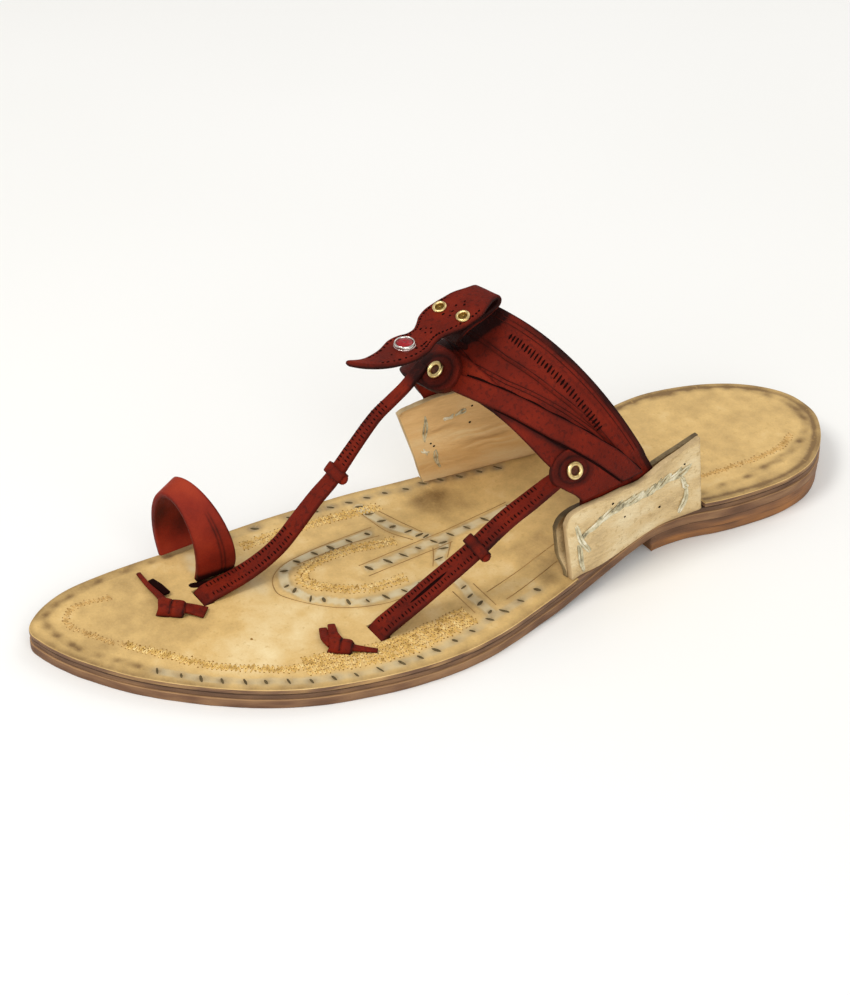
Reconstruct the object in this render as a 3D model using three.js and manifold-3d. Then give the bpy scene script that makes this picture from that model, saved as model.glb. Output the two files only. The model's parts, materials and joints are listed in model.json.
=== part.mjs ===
// Hand-made leather toe-loop sandal, left foot.
// Millimetres, +Z up. The toe points to -Y, the heel to +Y, and +X is the outer (lateral) side.
// The origin is on the floor, under the middle of the sole.
//
// The sole is a stack of leather plies that bend up over two heel lifts. Four ear plies stand
// on the midsole at the waist and hold the ends of an arched instep band. Two flat straps run
// from round tabs on that band to slots in the insole, and a toe loop stands on the inner side.
// A folded tongue with eyelets rests on the band.

import * as THREE from 'three';
import { mergeVertices } from 'three/addons/utils/BufferGeometryUtils.js';
import Module from 'manifold-3d';

const wasm = await Module();
wasm.setup();

// ---------------------------------------------------------------- driving sizes

const soleLength = 258;
const heelRise = 6; // height of the two lifts
const riseStart = -8; // where the plies leave the floor, towards the heel
const riseRun = 65;
const breastY = 48.4; // front face of the heel
const plyGap = 0.25; // glue line between two plies
const outsoleThickness = 2.75;
const midsoleThickness = 1.45;
const insoleThickness = 1.8;
const seatGap = 0.3; // clearance of one piece in another

const earPly = 1.8; // thickness of one ear ply
const wall = 1.9; // thickness of the instep band
const bandWidth = 26; // front edge to rear edge of the band
const earInsert = 10; // length of band held between two ear plies

const strapThickness = 1.7;
const strapWidth = 8;
const tongueThickness = 1.6;
const loopThickness = 2.1;
const eyeletOuter = 5.4;
const smallEyeletOuter = 4.7;
const eyeletHole = 2.8;
const eyeletBarrel = 3.5;
const stoneRingOuter = 6.5;

const leatherTan = 0xdfbd7f;
const leatherEdge = 0x7d5738;
const leatherEar = 0xdcc493;
const leatherRed = 0x7a2218;
const leatherLoop = 0x93301c;
const brass = 0xd2a84e;
const whiteMetal = 0xd9d4cc;

const standard = (settings) => new THREE.MeshStandardMaterial(settings);
const leather = (name, color) => standard({ name, color, roughness: 0.65, metalness: 0 });
const metal = (name, color) => standard({ name, color, roughness: 0.3, metalness: 1 });

const group = new THREE.Group();
group.name = 'toe_loop_sandal';

function addPiece(name, geometry, material) {
  const mesh = new THREE.Mesh(geometry, material);
  mesh.name = name;
  group.add(mesh);
  return mesh;
}

// ---------------------------------------------------------------- helpers

const vec = (x, y, z) => new THREE.Vector3(x, y, z);
const mix = (a, b, t) => a + (b - a) * t;
const clamp01 = (t) => Math.min(1, Math.max(0, t));
const smoothstep = (t) => clamp01(t) ** 2 * (3 - 2 * clamp01(t));
const steps = (count) => Array.from({ length: count + 1 }, (_, i) => i / count);

// A table of rows read at any place between its first and last key, in a straight line.
function readTable(rows, key, at) {
  let i = rows.findIndex((row) => row[key] >= at);
  if (i < 0) i = rows.length - 1;
  i = Math.max(1, i);
  const a = rows[i - 1];
  const b = rows[i];
  const t = clamp01((at - a[key]) / (b[key] - a[key]));
  const out = {};
  for (const name of Object.keys(a)) out[name] = mix(a[name], b[name], t);
  return out;
}

// The same table resampled along a smooth curve through its rows.
function smoothRows(rows, count) {
  const names = Object.keys(rows[0]);
  const columns = names.map((name) => rows.map((row) => row[name]));
  return steps(count).map((t) => {
    const place = t * (rows.length - 1);
    const i = Math.min(rows.length - 2, Math.floor(place));
    const f = place - i;
    const out = {};
    names.forEach((name, n) => {
      const c = columns[n];
      const before = c[Math.max(0, i - 1)];
      const after = c[Math.min(rows.length - 1, i + 2)];
      const inSlope = (c[i + 1] - before) / (i === 0 ? 1 : 2);
      const outSlope = (after - c[i]) / (i === rows.length - 2 ? 1 : 2);
      const f2 = f * f;
      const f3 = f2 * f;
      out[name] = (2 * f3 - 3 * f2 + 1) * c[i] + (f3 - 2 * f2 + f) * inSlope
        + (3 * f2 - 2 * f3) * c[i + 1] + (f3 - f2) * outSlope;
    });
    return out;
  });
}

// A closed solid between two faces, each a grid of points with the same rows and columns.
function slab(faceA, faceB) {
  const rows = faceA.length;
  const cols = faceA[0].length;
  const positions = [];
  for (const p of [faceA, faceB].flat(2)) positions.push(p.x, p.y, p.z);
  const index = [];
  const at = (side, r, c) => side * rows * cols + r * cols + c;
  const quad = (a, b, c, d) => index.push(a, b, c, a, c, d);
  for (let r = 0; r < rows - 1; r++) {
    for (let c = 0; c < cols - 1; c++) {
      quad(at(0, r, c), at(0, r, c + 1), at(0, r + 1, c + 1), at(0, r + 1, c));
      quad(at(1, r, c), at(1, r + 1, c), at(1, r + 1, c + 1), at(1, r, c + 1));
    }
    quad(at(0, r, 0), at(0, r + 1, 0), at(1, r + 1, 0), at(1, r, 0));
    quad(at(0, r, cols - 1), at(1, r, cols - 1), at(1, r + 1, cols - 1), at(0, r + 1, cols - 1));
  }
  for (let c = 0; c < cols - 1; c++) {
    quad(at(0, 0, c), at(1, 0, c), at(1, 0, c + 1), at(0, 0, c + 1));
    quad(at(0, rows - 1, c), at(0, rows - 1, c + 1), at(1, rows - 1, c + 1), at(1, rows - 1, c));
  }
  const geometry = new THREE.BufferGeometry();
  geometry.setAttribute('position', new THREE.Float32BufferAttribute(positions, 3));
  geometry.setIndex(index);
  return geometry;
}

function signedVolume(geometry) {
  const p = geometry.getAttribute('position');
  const index = geometry.getIndex();
  const a = vec();
  const b = vec();
  const c = vec();
  let volume = 0;
  for (let i = 0; i < index.count; i += 3) {
    a.fromBufferAttribute(p, index.getX(i));
    b.fromBufferAttribute(p, index.getX(i + 1));
    c.fromBufferAttribute(p, index.getX(i + 2));
    volume += a.dot(b.cross(c)) / 6;
  }
  return volume;
}

function toSolid(geometry) {
  const bare = geometry.clone();
  bare.deleteAttribute('normal');
  bare.deleteAttribute('uv');
  const merged = mergeVertices(bare, 1e-4);
  const triangles = Uint32Array.from(merged.getIndex().array);
  if (signedVolume(merged) < 0) {
    for (let i = 0; i < triangles.length; i += 3) triangles.subarray(i, i + 3).reverse();
  }
  const vertices = Float32Array.from(merged.getAttribute('position').array);
  return new wasm.Manifold(new wasm.Mesh({ numProp: 3, vertProperties: vertices, triVerts: triangles }));
}

function toGeometry(solid) {
  const mesh = solid.getMesh();
  const geometry = new THREE.BufferGeometry();
  geometry.setAttribute('position', new THREE.Float32BufferAttribute(mesh.vertProperties, 3));
  geometry.setIndex(Array.from(mesh.triVerts));
  geometry.computeVertexNormals();
  return geometry;
}

const join = (solids) => solids.reduce((all, next) => all.add(next));
const cut = (solid, tools) => tools.reduce((rest, tool) => rest.subtract(tool), solid);

function boxSolid(center, size, turn = 0) {
  const geometry = new THREE.BoxGeometry(...size);
  geometry.rotateZ(turn);
  geometry.translate(...center);
  return toSolid(geometry);
}

// ---------------------------------------------------------------- sole outline and plies

const rise = (y) => heelRise * smoothstep((y - riseStart) / riseRun);
const midsoleBottom = (y) => rise(y) + outsoleThickness + plyGap;
const insoleBottom = (y) => midsoleBottom(y) + midsoleThickness + plyGap;
const footbed = (y) => insoleBottom(y) + insoleThickness;

// Half outlines of the sole, a row for each section from the toe to the heel.
const outlineRows = [
  { y: -128.2, lateral: -24.6, medial: -31.9 },
  { y: -125.6, lateral: -16.9, medial: -35.2 },
  { y: -120, lateral: -6.4, medial: -39.3 },
  { y: -112, lateral: 4.8, medial: -42.5 },
  { y: -100, lateral: 17, medial: -43.9 },
  { y: -86, lateral: 28, medial: -44 },
  { y: -72, lateral: 35.5, medial: -43.5 },
  { y: -57, lateral: 40.2, medial: -43.5 },
  { y: -43, lateral: 43.1, medial: -43.2 },
  { y: -30, lateral: 43.9, medial: -42.3 },
  { y: -16, lateral: 42.5, medial: -41.2 },
  { y: 0, lateral: 38.6, medial: -38.4 },
  { y: 14, lateral: 35.3, medial: -35 },
  { y: 30, lateral: 31.2, medial: -30.5 },
  { y: 42, lateral: 28.2, medial: -26.7 },
  { y: 52, lateral: 26.3, medial: -25.7 },
  { y: 62, lateral: 26.8, medial: -27.8 },
  { y: 74, lateral: 29.6, medial: -31 },
  { y: 87, lateral: 31.1, medial: -31.9 },
  { y: 99, lateral: 30.8, medial: -29.7 },
  { y: 109, lateral: 27.9, medial: -26 },
  { y: 118, lateral: 21.3, medial: -20.5 },
  { y: 125, lateral: 12.8, medial: -13 },
  { y: 128.3, lateral: 6, medial: -6.2 },
];
const tip = { x: -28.8, y: -soleLength / 2 };
const heelEnd = { x: 0, y: soleLength / 2 };

const outline = (() => {
  const points = [vec(tip.x, tip.y, 0)];
  for (const row of outlineRows) points.push(vec(row.lateral, row.y, 0));
  points.push(vec(heelEnd.x, heelEnd.y, 0));
  for (const row of [...outlineRows].reverse()) points.push(vec(row.medial, row.y, 0));
  return new THREE.CatmullRomCurve3(points, true, 'centripetal').getPoints(720).slice(0, -1);
})();

// Both edges of the outline, drawn in by inset, as lists that run from toe to heel.
function outlineEdges(inset) {
  const count = outline.length;
  const moved = outline.map((p, i) => {
    const along = outline[(i + 1) % count].clone().sub(outline[(i + count - 1) % count]).normalize();
    return vec(p.x - along.y * inset, p.y + along.x * inset, 0);
  });
  const ys = moved.map((p) => p.y);
  const toe = ys.indexOf(Math.min(...ys));
  const heel = ys.indexOf(Math.max(...ys));
  const walk = (from, to) => {
    const list = [];
    for (let i = from; i !== to; i = (i + 1) % count) list.push(moved[i]);
    list.push(moved[to]);
    return list;
  };
  return { lateral: walk(toe, heel), medial: walk(heel, toe).reverse() };
}

function edgeX(list, y) {
  return readTable(list, 'y', y).x;
}

// One ply of the sole between two heights that vary along its length.
function soleLayer({ inset, bottom, top, from = -soleLength / 2, to = soleLength / 2, count = 60 }) {
  const edges = outlineEdges(inset);
  const tipCut = 0.02;
  const first = Math.max(from, edges.lateral[0].y + tipCut);
  const last = Math.min(to, edges.lateral.at(-1).y - tipCut);
  const wholeRange = from < first;
  const upper = [];
  const lower = [];
  for (const t of steps(count)) {
    const even = wholeRange ? (1 - Math.cos(Math.PI * t)) / 2 : Math.sin((Math.PI * t) / 2);
    const y = mix(first, last, even);
    const lateral = edgeX(edges.lateral, y);
    const medial = edgeX(edges.medial, y);
    upper.push([vec(medial, y, top(y)), vec(lateral, y, top(y))]);
    lower.push([vec(medial, y, bottom(y)), vec(lateral, y, bottom(y))]);
  }
  return toSolid(slab(upper, lower));
}

// ---------------------------------------------------------------- ears

// Outer face of each ear, a row for each section from front to rear: foot of the ply on the
// midsole, and its top edge. The lateral ear's foot is not level: sunk is how far it reaches
// down past the midsole's top, and below zero it stops short and stands on the insole.
const lateralEarRows = [
  { baseX: 34.3, baseY: 14.9, topX: 31.8, topY: 13.5, topZ: 26.6, sunk: -2.1 },
  { baseX: 34, baseY: 16.2, topX: 31.8, topY: 15, topZ: 29.5, sunk: -2.1 },
  { baseX: 33.3, baseY: 19, topX: 31.8, topY: 18.4, topZ: 30.8, sunk: -1.6 },
  { baseX: 31.6, baseY: 26.5, topX: 31.7, topY: 25.6, topZ: 31.3, sunk: 0.4 },
  { baseX: 29.6, baseY: 35, topX: 31.5, topY: 33, topZ: 31.9, sunk: 1.2 },
  { baseX: 27.5, baseY: 43, topX: 30.9, topY: 40, topZ: 31.5, sunk: 1.7 },
  { baseX: 26.5, baseY: 48.5, topX: 30.3, topY: 44.6, topZ: 32.6, sunk: 1.7 },
  { baseX: 25.9, baseY: 53.5, topX: 29.6, topY: 49.5, topZ: 34.3, sunk: 1.7 },
  { baseX: 26.1, baseY: 58.5, topX: 29.2, topY: 56, topZ: 35.9, sunk: 1.4 },
  { baseX: 27.6, baseY: 66.8, topX: 28.7, topY: 63.4, topZ: 38.2, sunk: 0 },
];
const medialEarRows = [
  { baseX: -37.2, baseY: 7, topX: -36.2, topY: -5.4, topZ: 37.5 },
  { baseX: -36.7, baseY: 9, topX: -36.2, topY: -3, topZ: 38.5 },
  { baseX: -35.2, baseY: 14, topX: -36.1, topY: 3, topZ: 39.1 },
  { baseX: -32.7, baseY: 22, topX: -35.9, topY: 10, topZ: 39.4 },
  { baseX: -30.2, baseY: 30, topX: -35.6, topY: 18, topZ: 39.2 },
  { baseX: -27.6, baseY: 38, topX: -34.8, topY: 27, topZ: 39 },
  { baseX: -25.8, baseY: 45, topX: -33.8, topY: 36, topZ: 39.6 },
  { baseX: -25.4, baseY: 52, topX: -32.4, topY: 45, topZ: 41 },
  { baseX: -26.8, baseY: 58.5, topX: -31.2, topY: 53, topZ: 42.6 },
];
const earHeights = [0, 0.12, 0.25, 0.38, 0.5, 0.75, 1];

// The pocket between the two plies: closed at the foot, wide enough for the band at the top.
const pocket = (h) => seatGap + (wall + 2.5 * seatGap) * smoothstep((h - 0.1) / 0.35);

// A point of an ear, at a share h of its height and a depth in from the outer face.
function earPoint(rows, i, h, depth) {
  const row = rows[i];
  const before = rows[Math.max(0, i - 1)];
  const after = rows[Math.min(rows.length - 1, i + 1)];
  const alongX = mix(after.baseX - before.baseX, after.topX - before.topX, h);
  const alongY = mix(after.baseY - before.baseY, after.topY - before.topY, h);
  const size = Math.hypot(alongX, alongY);
  const inward = row.baseX > 0 ? -1 : 1;
  const x = mix(row.baseX, row.topX, h) + (inward * depth * alongY) / size;
  const y = mix(row.baseY, row.topY, h) - (inward * depth * alongX) / size;
  const footZ = insoleBottom(row.baseY) - (row.sunk ?? 0);
  return vec(x, y, mix(footZ, row.topZ, h));
}

function earSheet(rows, nearDepth, farDepth) {
  const face = (depth) => rows.map((_, i) => earHeights.map((h) => earPoint(rows, i, h, depth(h))));
  return toSolid(slab(face(nearDepth), face(farDepth)));
}

const outerPly = (rows) => earSheet(rows, () => 0, () => earPly);
const innerPly = (rows) => earSheet(
  rows.map((row) => ({ ...row, sunk: Math.min(0, row.sunk ?? 0) })),
  (h) => earPly + pocket(h), (h) => 2 * earPly + pocket(h),
);

// The second ply of an ear is cut a little differently: shifted at its ends, lower at its top.
function recutRows(rows, { frontShift = 0, rearShift = 0, drops }) {
  return rows.map((row, i) => ({
    ...row,
    baseY: row.baseY + (i === 0 ? frontShift : 0),
    topY: row.topY + (i < 2 ? frontShift : 0) + (i === rows.length - 1 ? rearShift : 0),
    topZ: row.topZ - drops[i],
  }));
}
const lateralInnerRows = recutRows(lateralEarRows, {
  frontShift: -0.2, rearShift: 3.2, drops: [3.7, 3.6, 3.2, 3, 3, 2.8, 2.8, 3.1, 3.1, 2.9],
});
const medialOuterRows = recutRows(medialEarRows, {
  frontShift: 4.5, drops: [5.4, 4.4, 3.8, 3.6, 3.6, 3.6, 3.6, 3.6, 3.6],
});

// Where the band's outer face lies in an ear's pocket: under the place topY of the ear's top
// edge, at the height z.
function earSeat(rows, topY, z) {
  const row = readTable(rows, 'topY', topY);
  const footZ = insoleBottom(row.baseY);
  const h = (z - footZ) / (row.topZ - footZ);
  const inward = row.baseX > 0 ? -1 : 1;
  const depth = earPly + 1.8 * seatGap;
  return vec(mix(row.baseX, row.topX, h) + inward * depth, mix(row.baseY, row.topY, h), z);
}

// ---------------------------------------------------------------- instep band

// Front and rear edge of the band: two arches from the lateral to the medial ear. Each is a
// superellipse on the line between its feet, leaning by its crown vector.
const archPower = 2.4;
const lateralFeet = { rows: lateralEarRows, front: 20.8, rear: 47.2, z: 32.4 };
const medialFeet = { rows: medialEarRows, front: 5.2, rear: 31.4, z: 38.4 };
const frontArch = {
  lateral: earSeat(lateralFeet.rows, lateralFeet.front, lateralFeet.z),
  medial: earSeat(medialFeet.rows, medialFeet.front, medialFeet.z),
  crown: vec(-0.6, -12.9, 22.8),
};
const rearArch = {
  lateral: earSeat(lateralFeet.rows, lateralFeet.rear, lateralFeet.z),
  medial: earSeat(medialFeet.rows, medialFeet.rear, medialFeet.z),
  crown: vec(-3.1, -20.4, 41.2),
};

function archPoint(arch, angle) {
  const across = Math.sign(Math.cos(angle)) * Math.abs(Math.cos(angle)) ** (2 / archPower);
  const up = Math.abs(Math.sin(angle)) ** (2 / archPower);
  const middle = arch.lateral.clone().add(arch.medial).multiplyScalar(0.5);
  const half = arch.lateral.clone().sub(arch.medial).multiplyScalar(0.5);
  return middle.addScaledVector(half, across).addScaledVector(arch.crown, up);
}

// Length along the middle of the band against the angle on its arch.
const archTable = (() => {
  const rows = [];
  let length = 0;
  let last = null;
  for (const t of steps(360)) {
    const angle = Math.PI * t;
    const p = archPoint(frontArch, angle).lerp(archPoint(rearArch, angle), 0.5);
    if (last) length += p.distanceTo(last);
    rows.push({ s: length, angle });
    last = p;
  }
  return rows;
})();
const bandLength = archTable.at(-1).s;

// The band's outer face: s is the length from the lateral ear, w the width from the front edge.
function bandPoint(s, w) {
  const inside = Math.min(bandLength, Math.max(0, s));
  const { angle } = readTable(archTable, 's', inside);
  const v = w / bandWidth;
  const p = archPoint(frontArch, angle).lerp(archPoint(rearArch, angle), v);
  const past = s < 0 ? -s : s - inside;
  if (past > 0) {
    const feet = s < 0 ? lateralFeet : medialFeet;
    return earSeat(feet.rows, mix(feet.front, feet.rear, v), feet.z - past);
  }
  return p;
}

function bandNormal(s, w) {
  const d = 0.6;
  const alongS = bandPoint(s + d, w).sub(bandPoint(s - d, w));
  const alongW = bandPoint(s, w + d).sub(bandPoint(s, w - d));
  return alongS.cross(alongW).normalize().multiplyScalar(-1);
}

const bandLift = (s, w, height) => bandPoint(s, w).addScaledVector(bandNormal(s, w), height);

// A strip on the band: rows of s with its front edge, rear edge and height above the wall.
function bandStrip(rows, bottom, columns = 4) {
  const face = (heightOf) => rows.map((row) => (
    steps(columns).map((t) => bandLift(row.s, mix(row.front, row.rear, t), heightOf(row)))
  ));
  return toSolid(slab(face((row) => row.height), face(() => bottom)));
}

const sunk = -0.7; // how deep a raised strip reaches into the wall under it

function wallRows() {
  const places = [-earInsert, -5, -1.5, 0, 1.2, 2.6, 4.5];
  const middle = steps(40).map((t) => mix(7, bandLength - 7, t));
  const far = [...places].reverse().map((s) => bandLength - s);
  return [...places, ...middle, ...far].map((s) => ({ s, front: 0, rear: bandWidth, height: 0 }));
}

// Raised rear strip, which carries the row of slits.
const rearStripRows = [
  { s: 6, front: 18.6, rear: 26.2, height: 0.6 },
  { s: 12, front: 18.2, rear: 26.2, height: 0.6 },
  { s: 22, front: 17, rear: 26.2, height: 0.6 },
  { s: 36, front: 15.2, rear: 26.2, height: 0.6 },
  { s: 53, front: 14.4, rear: 26.2, height: 0.6 },
  { s: 67, front: 15.2, rear: 26.2, height: 0.6 },
  { s: 90, front: 16.6, rear: 26.2, height: 0.6 },
  { s: 108, front: 17.6, rear: 26.2, height: 0.6 },
];

// Strip from the rear of the lateral ear down to the medial tab, on top of the others.
const diagonalRows = [
  { s: 1.6, front: 13.8, rear: 21.4, height: 2.5 },
  { s: 6, front: 12.1, rear: 20.1, height: 2.5 },
  { s: 11, front: 10.4, rear: 18.4, height: 2.5 },
  { s: 17.6, front: 8, rear: 15.5, height: 2.4 },
  { s: 26.8, front: 4.9, rear: 12.2, height: 2.2 },
  { s: 34, front: 3.3, rear: 10, height: 2 },
  { s: 42, front: 1.9, rear: 8.2, height: 1.9 },
  { s: 51, front: 0.2, rear: 6.3, height: 1.7 },
  { s: 61.5, front: -1.2, rear: 4.4, height: 1.5 },
  { s: 69, front: -1.8, rear: 4, height: 1.4 },
];

// The matching strip from the rear of the medial ear to the lateral tab, under the diagonal.
const counterRows = [
  { s: 14, front: -1.5, rear: 8, height: 0.9 },
  { s: 24, front: -1.7, rear: 7.6, height: 0.9 },
  { s: 32, front: -1.2, rear: 7.2, height: 0.9 },
  { s: 40, front: -0.5, rear: 7, height: 0.9 },
  { s: 48, front: 0, rear: 7, height: 0.9 },
  { s: 60, front: 0.6, rear: 8.6, height: 0.9 },
  { s: 75, front: 3.2, rear: 10.8, height: 0.9 },
  { s: 90, front: 8, rear: 15, height: 0.9 },
  { s: 103, front: 12.6, rear: 20, height: 0.9 },
  { s: 108, front: 14.4, rear: 21.8, height: 0.9 },
];

// Round-ended tabs over the strap ends, from each ear to its eyelet.
const lateralTab = { s: 15, w: 2.8, radius: 7.6, height: 1.7 };
const medialTab = { s: 68.4, w: 1.4, radius: 7.2, squash: 0.8, height: 3 };

function tabRows(tab, tailRows, side) {
  const round = steps(8).map((t) => {
    const turn = (Math.PI / 2) * t;
    const half = Math.max(0.5, tab.radius * Math.cos(turn));
    const s = tab.s + side * tab.radius * Math.sin(turn);
    return { s, front: tab.w - half * (tab.squash ?? 1), rear: tab.w + half, height: tab.height };
  });
  return [...tailRows, ...round];
}
const lateralTail = [
  { s: 0.4, front: -0.9, rear: 13.8, height: lateralTab.height },
  { s: 4, front: -1.5, rear: 12.9, height: lateralTab.height },
  { s: 8.5, front: -3, rear: 12.2, height: lateralTab.height },
];
const medialTail = [
  { s: 108, front: 0, rear: 12.8, height: 1.7 },
  { s: 102, front: -0.3, rear: 12.4, height: 1.9 },
  { s: 95, front: -1.2, rear: 11.4, height: 2.2 },
  { s: 86, front: -2.6, rear: 10.2, height: 2.6 },
  { s: 79, front: -4.4, rear: 9.2, height: 2.9 },
];

// ---------------------------------------------------------------- straps

// Middle line of each front strap, from its tab down to its slot in the insole.
const medialStrapRows = [
  { x: -17.9, y: -3.9, z: 61.2, width: 4.4 },
  { x: -17.5, y: -7.2, z: 58.6, width: 4.4 },
  { x: -17.3, y: -11, z: 55.6, width: 4.4 },
  { x: -17.4, y: -15.4, z: 52.6, width: 4.5 },
  { x: -17.5, y: -21, z: 48.6, width: 4.7 },
  { x: -17.5, y: -28.4, z: 40.7, width: 5.2 },
  { x: -17.5, y: -35.2, z: 33, width: 5.8 },
  { x: -17.5, y: -41.2, z: 27.9, width: 6.2 },
  { x: -17.5, y: -46.8, z: 22.4, width: 6.6 },
  { x: -17.6, y: -52.9, z: 16.4, width: 6.7 },
  { x: -17.7, y: -59, z: 12.6, width: 7 },
  { x: -17.8, y: -66, z: 9.9, width: 7.4 },
  { x: -17.9, y: -73, z: 8.3, width: 7.8 },
  { x: -18, y: -77.6, z: 7.2, width: 8 },
  { x: -18.1, y: -80, z: 5.5, width: 8 },
];
const lateralStrapRows = [
  { x: 26.2, y: 16, z: 40.8, width: 5.6 },
  { x: 26.3, y: 11.2, z: 38.9, width: 6.6 },
  { x: 26.1, y: 4.6, z: 35.7, width: 7.2 },
  { x: 25.7, y: -2, z: 32.4, width: 7.3 },
  { x: 25.4, y: -7.8, z: 28.8, width: 7.4 },
  { x: 25.1, y: -13.3, z: 24.9, width: 7.5 },
  { x: 24.7, y: -18.7, z: 21.5, width: 7.7 },
  { x: 24.3, y: -25, z: 17.9, width: 7.9 },
  { x: 24, y: -31.4, z: 14.3, width: 8 },
  { x: 23.6, y: -37.7, z: 10.8, width: 8 },
  { x: 23.2, y: -42.6, z: 8, width: 8 },
  { x: 23, y: -45.4, z: 5.6, width: 8 },
];
const strapPlaces = 36;

function strapFrame(rows, i) {
  const before = rows[Math.max(0, i - 1)];
  const after = rows[Math.min(rows.length - 1, i + 1)];
  const along = vec(after.x - before.x, after.y - before.y, after.z - before.z).normalize();
  const across = vec(1, 0, 0).addScaledVector(along, -along.x).normalize();
  const up = across.clone().cross(along).normalize();
  if (up.z < 0) up.negate();
  const { x, y, z, width } = rows[i];
  return { at: vec(x, y, z), along, across, up, width };
}

function strapSolid(table) {
  const rows = smoothRows(table, strapPlaces);
  const faces = [0.5, -0.5].map((side) => rows.map((_, i) => {
    const { at, across, up, width } = strapFrame(rows, i);
    const level = at.clone().addScaledVector(up, side * strapThickness);
    return [-0.5, 0.5].map((t) => level.clone().addScaledVector(across, t * width));
  }));
  return toSolid(slab(faces[0], faces[1]));
}

// A slot through the insole, across the line of a strap.
function slotSolid(x, y, width) {
  const slotLength = 5;
  return boxSolid([x, y, insoleBottom(y)], [width + 2 * seatGap, slotLength, 3 * insoleThickness]);
}

// ---------------------------------------------------------------- toe loop

// The loop's front and rear edge, each part of an ellipse that opens downwards.
const loopFront = {
  center: vec(-34, -79.8, 15.8), side: vec(9.4, 2.4, 0), crown: vec(0.2, -1.6, 18.4), dip: 0.52,
};
const loopRear = {
  center: vec(-34.1, -70.3, 19.4), side: vec(11.9, 3.8, 0), crown: vec(-0.9, -3.8, 17.1), dip: 0.85,
};
// The band widens backwards on its way down to the inner foot.
const loopSwell = { from: 0.54, middle: 3.8, foot: 0.9 };
const loopPlaces = 32;
const loopColumns = 3;

function loopEdge(edge, t) {
  const angle = mix(-edge.dip, Math.PI + edge.dip, t);
  return edge.center.clone()
    .addScaledVector(edge.side, Math.cos(angle))
    .addScaledVector(edge.crown, Math.sin(angle));
}

function loopRearEdge(t) {
  const share = Math.max(0, (t - loopSwell.from) / (1 - loopSwell.from));
  const swell = loopSwell.middle * Math.sin(Math.PI * Math.min(1, share)) ** 2 + loopSwell.foot * share ** 2;
  return loopEdge(loopRear, t).add(vec(0, swell, 0));
}

function loopSolid() {
  const point = (t, v) => loopEdge(loopFront, t).lerp(loopRearEdge(t), v);
  const d = 0.01;
  const inwardAt = (t, v) => {
    const along = point(t + d, v).sub(point(t - d, v));
    const across = point(t, v + d).sub(point(t, v - d));
    return along.cross(across).normalize();
  };
  const outer = steps(loopPlaces).map((t) => steps(loopColumns).map((v) => point(t, v)));
  const inner = steps(loopPlaces).map((t) => steps(loopColumns).map((v) => {
    const inward = inwardAt(t, v);
    if (inward.dot(vec(-34, -75, 18).sub(point(t, v))) < 0) inward.negate();
    return point(t, v).addScaledVector(inward, loopThickness);
  }));
  return toSolid(slab(outer, inner));
}

// ---------------------------------------------------------------- tongue

// Middle line of the tongue: its foot stands on the band, the lower layer runs back to a tight
// fold, and the top layer runs forward from it to a point that curls up. Its width lies level,
// turned about Z by turn.
const tongueRows = [
  { x: -15.6, y: 6.4, z: 66.7, half: 3.2, turn: 0.1 },
  { x: -15.4, y: 4.7, z: 68.4, half: 3.2, turn: 0.1 },
  { x: -13.8, y: 2, z: 70.9, half: 3.2, turn: 0.12 },
  { x: -11.5, y: 0.7, z: 73.6, half: 3.4, turn: 0.16 },
  { x: -9.6, y: 1.6, z: 76.2, half: 4, turn: 0.2 },
  { x: -10.2, y: 4.8, z: 77.7, half: 4.6, turn: 0.2 },
  { x: -11.5, y: 8.4, z: 78.1, half: 5, turn: 0.18 },
  { x: -12.8, y: 12, z: 78.5, half: 5.1, turn: 0.16 },
  { x: -13.7, y: 15, z: 79.2, half: 5, turn: 0.17 },
  { x: -13.7, y: 15.7, z: 80.6, half: 4.8, turn: 0.22 },
  { x: -13.4, y: 14.5, z: 81.9, half: 4.6, turn: 0.3 },
  { x: -12.6, y: 11.9, z: 82.3, half: 5, turn: 0.33 },
  { x: -11.8, y: 8.1, z: 82.1, half: 6.3, turn: 0.36 },
  { x: -10.9, y: 4.9, z: 81.5, half: 7.1, turn: 0.37 },
  { x: -10.6, y: 1.9, z: 80.7, half: 7.4, turn: 0.36 },
  { x: -10.6, y: -1.3, z: 79.6, half: 7.3, turn: 0.35 },
  { x: -10.3, y: -4.3, z: 78.7, half: 6.4, turn: 0.34 },
  { x: -9.7, y: -6.7, z: 78, half: 5.1, turn: 0.33 },
  { x: -8.8, y: -9, z: 77.4, half: 4.4, turn: 0.31 },
  { x: -8, y: -11.4, z: 76.9, half: 4.9, turn: 0.3 },
  { x: -7.6, y: -14, z: 76.6, half: 5.9, turn: 0.26 },
  { x: -6.8, y: -17.6, z: 76.4, half: 6.1, turn: 0.24 },
  { x: -5.3, y: -22.1, z: 76.4, half: 4.9, turn: 0.29 },
  { x: -4.4, y: -26.4, z: 76.8, half: 3.8, turn: 0.34 },
  { x: -4, y: -30.1, z: 77.4, half: 2.9, turn: 0.38 },
  { x: -4.3, y: -33.6, z: 78.2, half: 1.9, turn: 0.36 },
  { x: -5.2, y: -36.6, z: 79, half: 0.6, turn: 0.25 },
];
const tonguePlaces = 60;
const tongueColumns = 2;

function tongueFrame(rows, i) {
  const before = rows[Math.max(0, i - 1)];
  const after = rows[Math.min(rows.length - 1, i + 1)];
  const along = vec(after.x - before.x, after.y - before.y, after.z - before.z).normalize();
  const { x, y, z, turn } = rows[i];
  const across = vec(Math.cos(turn), Math.sin(turn), 0);
  return { at: vec(x, y, z), along, across, up: along.clone().cross(across).normalize() };
}

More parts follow.
